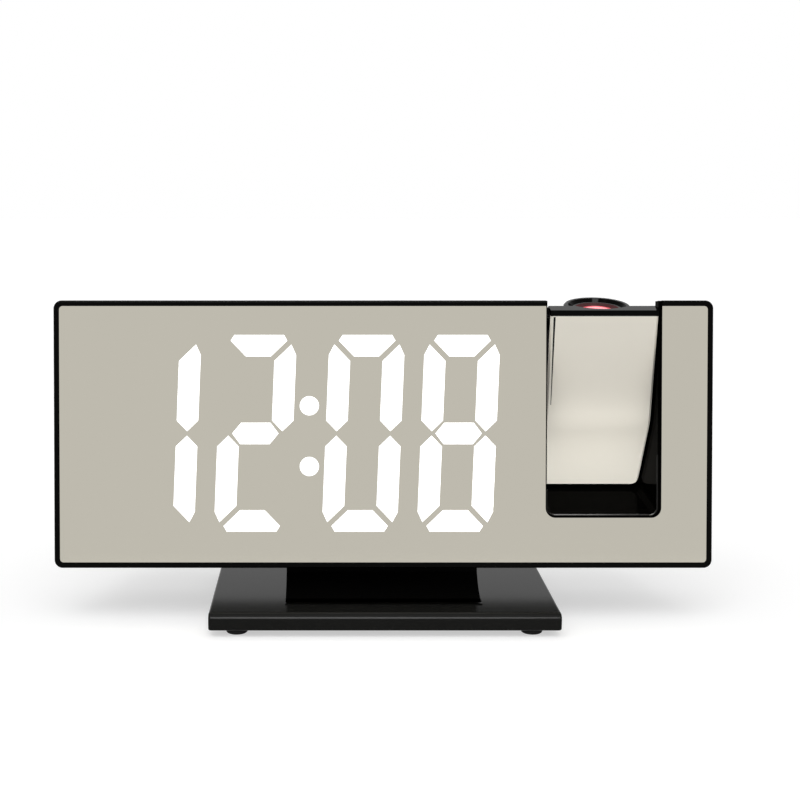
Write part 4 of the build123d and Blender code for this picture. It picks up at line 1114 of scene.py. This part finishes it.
@dataclass
class ScrewCrosses(Detail):
    """Painted shade of the cross recesses in a node's screw heads, as flat black crosses on the heads.

    Attributes:
        node: name of the screws' node.
        reach: length of an arm as a share of the head's radius.
        width: half an arm's width as a share of the head's radius.
        proud: how far the cross stands off the head, so that it shows.
        sink: how far it reaches into the head.
    """

    node: str = "housing_screws"
    reach: float = 0.58
    width: float = 0.15
    proud: float = 0.02
    sink: float = 0.1

    def build(self) -> None:
        """Set a black cross of painted shade in the middle of every head."""
        mesh = bmesh.new()
        for low, high in self.space.islands(self.node):
            cross = shifted(self.cross((high.x - low.x) / 2), (low + high) / 2)
            add_prism(mesh, cross, high.y - self.sink, high.y + self.proud)
        self.add(mesh, self.node.replace("screws", "screw_cross_shade"), "clock_body", PAINTED_SHADE_AND_REFLECTION)

    def cross(self, radius: float) -> Outline:
        """Draw the cross of one head about its middle.

        Args:
            radius: radius of the head.

        Returns:
            The outline of the four arms.
        """
        long = radius * self.reach
        thin = radius * self.width
        outline = []
        for quarter in range(4):
            turn = quarter * QUARTER_TURN
            for right, up in ((thin, thin), (long, thin), (long, -thin)):
                across = right * math.cos(turn) + up * math.sin(turn)
                along = up * math.cos(turn) - right * math.sin(turn)
                outline.append((across, along))
        return outline


def sight(azimuth: float, elevation: float) -> Vector:
    """Find the direction from the clock to a viewer.

    Args:
        azimuth: degrees to the right of the front.
        elevation: degrees above the floor.

    Returns:
        The unit direction.
    """
    turn = math.radians(azimuth)
    rise = math.radians(elevation)
    return Vector((math.sin(turn) * math.cos(rise), -math.cos(turn) * math.cos(rise), math.sin(rise)))


@dataclass(frozen=True)
class Sun:
    """One wide, soft lamp far away.

    Attributes:
        name: name of the lamp.
        azimuth: degrees to the right of the front.
        elevation: degrees above the floor.
        width: degrees across its face.
        strength: its light on a surface that faces it, in watts per square metre.
        gloss_only: whether it shows in reflections alone.
    """

    name: str
    azimuth: float
    elevation: float
    width: float
    strength: float
    gloss_only: bool = False

    def hang(self) -> None:
        """Put the lamp in the scene."""
        data = bpy.data.lights.new(self.name, "SUN")
        data.angle = math.radians(self.width)
        data.energy = self.strength
        lamp = bpy.data.objects.new(self.name, data)
        lamp.rotation_euler = sight(self.azimuth, self.elevation).to_track_quat("Z", "Y").to_euler()
        lamp.visible_diffuse = not self.gloss_only
        bpy.context.scene.collection.objects.link(lamp)


SUNS = (
    Sun("key_sun", azimuth=0.0, elevation=65.0, width=50.0, strength=0.78),
    Sun("front_card", azimuth=0.0, elevation=38.0, width=26.0, strength=3.0, gloss_only=True),
    Sun("side_sun", azimuth=-40.0, elevation=50.0, width=40.0, strength=0.3),
)


@dataclass
class Studio:
    """Floor, backdrop, lamps and camera.

    Attributes:
        floor_reach: from the floor's middle to its sides, in metres.
        floor_grey: share of the light that the floor throws back at the clock.
        floor_seen_grey: the same share where the floor itself is seen, for a lighter shadow.
        floor_lift: light added to the floor where it is seen.
        floor_roughness: roughness of the floor.
        ambient: strength of the backdrop's light on the clock.
        backdrop: brightness of the backdrop where it is seen.
        aim: point that the camera looks at, in millimetres.
        distance: from that point to the camera, in millimetres.
        azimuth: the camera's degrees to the right of the front.
        elevation: the camera's degrees above the floor.
        lens: focal length in millimetres.
        sensor: width of the camera's sensor in millimetres.
        shift: sideways shift of the picture as a share of its width.
        near_clip: shortest distance that the camera sees, in metres.
        fill_aim: point that the bay's lamp looks at, in millimetres from the head's pivot.
        fill_distance: from that point to the lamp, in millimetres.
        fill_elevation: the lamp's degrees above the floor.
        fill_width: width of the lamp's face in millimetres.
        fill_height: height of the lamp's face in millimetres.
        fill_spread: degrees that the lamp's light spreads over.
        fill_power: power of the lamp in watts.
    """

    floor_reach: float = 4.0
    floor_grey: float = 0.8
    floor_seen_grey: float = 0.6
    floor_lift: float = 0.53
    floor_roughness: float = 0.9
    ambient: float = 0.55
    backdrop: float = 1.0
    aim: Point = (-15.8, -9.7, 62.3)
    distance: float = 387.9
    azimuth: float = 0.0
    elevation: float = 9.06
    lens: float = 62.1
    sensor: float = 36.0
    shift: float = 0.0911
    near_clip: float = 0.01
    fill_aim: Point = (0.0, 0.0, -51.5)
    fill_distance: float = 450.0
    fill_elevation: float = 0.0
    fill_width: float = 80.0
    fill_height: float = 38.0
    fill_spread: float = 5.0
    fill_power: float = 0.0075

    def build(self) -> None:
        """Set the stage."""
        bpy.context.scene.view_settings.view_transform = "Standard"
        self.make_world()
        self.make_floor()
        for sun in SUNS:
            sun.hang()
        self.make_fill()
        self.make_camera()
        LOG.info("set the stage")

    def seen_share(self, tree: bpy.types.NodeTree) -> bpy.types.NodeSocket:
        """Add the test for rays that show a surface itself.

        Args:
            tree: tree that takes the nodes.

        Returns:
            1 for camera, glossy and transmission rays, or else 0.
        """
        path = tree.nodes.new("ShaderNodeLightPath")
        share = path.outputs["Is Camera Ray"]
        for name in ("Is Glossy Ray", "Is Transmission Ray"):
            either = tree.nodes.new("ShaderNodeMath")
            either.operation = "MAXIMUM"
            tree.links.new(share, either.inputs[0])
            tree.links.new(path.outputs[name], either.inputs[1])
            share = either.outputs["Value"]
        return share

    def make_world(self) -> None:
        """White backdrop that lights the clock at a plain level."""
        world = bpy.data.worlds.new("white_backdrop")
        world.use_nodes = True
        tree = world.node_tree
        background = tree.nodes["Background"]
        background.inputs["Color"].default_value = (1, 1, 1, 1)
        level = tree.nodes.new("ShaderNodeMapRange")
        level.inputs["To Min"].default_value = self.ambient
        level.inputs["To Max"].default_value = self.backdrop
        tree.links.new(self.seen_share(tree), level.inputs["Value"])
        tree.links.new(level.outputs["Result"], background.inputs["Strength"])
        bpy.context.scene.world = world

    def make_floor(self) -> None:
        """Plain white floor that shows a light shadow of the clock."""
        mesh = bmesh.new()
        bmesh.ops.create_grid(mesh, x_segments=1, y_segments=1, size=self.floor_reach)
        floor = finish_piece(mesh, "floor", Matrix.Identity(4))
        bench = NodeBench("floor_white")
        shader = bench.add("BsdfPrincipled")
        shader.inputs["Roughness"].default_value = self.floor_roughness
        shader.inputs["Specular IOR Level"].default_value = 0.0
        shader.inputs["Emission Color"].default_value = (1, 1, 1, 1)
        seen = self.seen_share(bench.tree)
        grey = bench.spread(seen, self.floor_grey, self.floor_seen_grey)
        bench.link(grey, shader.inputs["Base Color"])
        lift = bench.spread(seen, 0.0, self.floor_lift)
        bench.link(lift, shader.inputs["Emission Strength"])
        bench.link(shader.outputs["BSDF"], bench.output.inputs["Surface"])
        floor.data.materials.append(bench.material)

    def make_fill(self) -> None:
        """Aim a narrow lamp at the lower half of the head's plate, deep in its bay."""
        target = Vector(joint("head_tilt")["pos_m"]) + Vector(self.fill_aim) * MM
        data = bpy.data.lights.new("bay_fill", "AREA")
        data.energy = self.fill_power
        data.shape = "RECTANGLE"
        data.size = self.fill_width * MM
        data.size_y = self.fill_height * MM
        data.spread = math.radians(self.fill_spread)
        lamp = bpy.data.objects.new("bay_fill", data)
        away = sight(self.azimuth, self.fill_elevation)
        lamp.location = target + away * self.fill_distance * MM
        lamp.rotation_euler = away.to_track_quat("Z", "Y").to_euler()
        lamp.visible_glossy = False
        lamp.visible_camera = False
        bpy.context.scene.collection.objects.link(lamp)

    def make_camera(self) -> None:
        """Set the camera at the photographed angle."""
        away = sight(self.azimuth, self.elevation)
        data = bpy.data.cameras.new("front_camera")
        data.lens = self.lens
        data.sensor_width = self.sensor
        data.shift_x = self.shift
        data.clip_start = self.near_clip
        camera = bpy.data.objects.new("front_camera", data)
        camera.location = Vector(self.aim) * MM + away * self.distance * MM
        camera.rotation_euler = away.to_track_quat("Z", "Y").to_euler()
        bpy.context.scene.collection.objects.link(camera)
        bpy.context.scene.camera = camera


def dress_nodes(palette: Palette) -> None:
    """Give every CAD node its finish.

    Args:
        palette: materials of the clock.
    """
    for name, node in frame["nodes"].items():
        palette.dress(node, FINISH_OF_NODE[name])
        LOG.info("dressed %s", name)


def main() -> None:
    """Build and dress the clock, then set the stage."""
    logging.basicConfig(level=logging.INFO)
    palette = Palette()
    dress_nodes(palette)
    Display(body_space(), palette).build()
    BayLip(body_space(), palette).build()
    PaintedPlateReflection(head_space(), palette).build()
    FocusGrip(head_space(), palette).build()
    SnoozeGrip(snooze_space(), palette).build()
    KeyMarks(body_space(), palette).build()
    DoorMarks(body_space(), palette).build()
    for node in ("housing_screws", "stand_screws"):
        ScrewCrosses(body_space(), palette, node).build()
    ScrewCrosses(under_space(), palette, "base_screws").build()
    Studio().build()


if __name__ == "__main__":
    main()
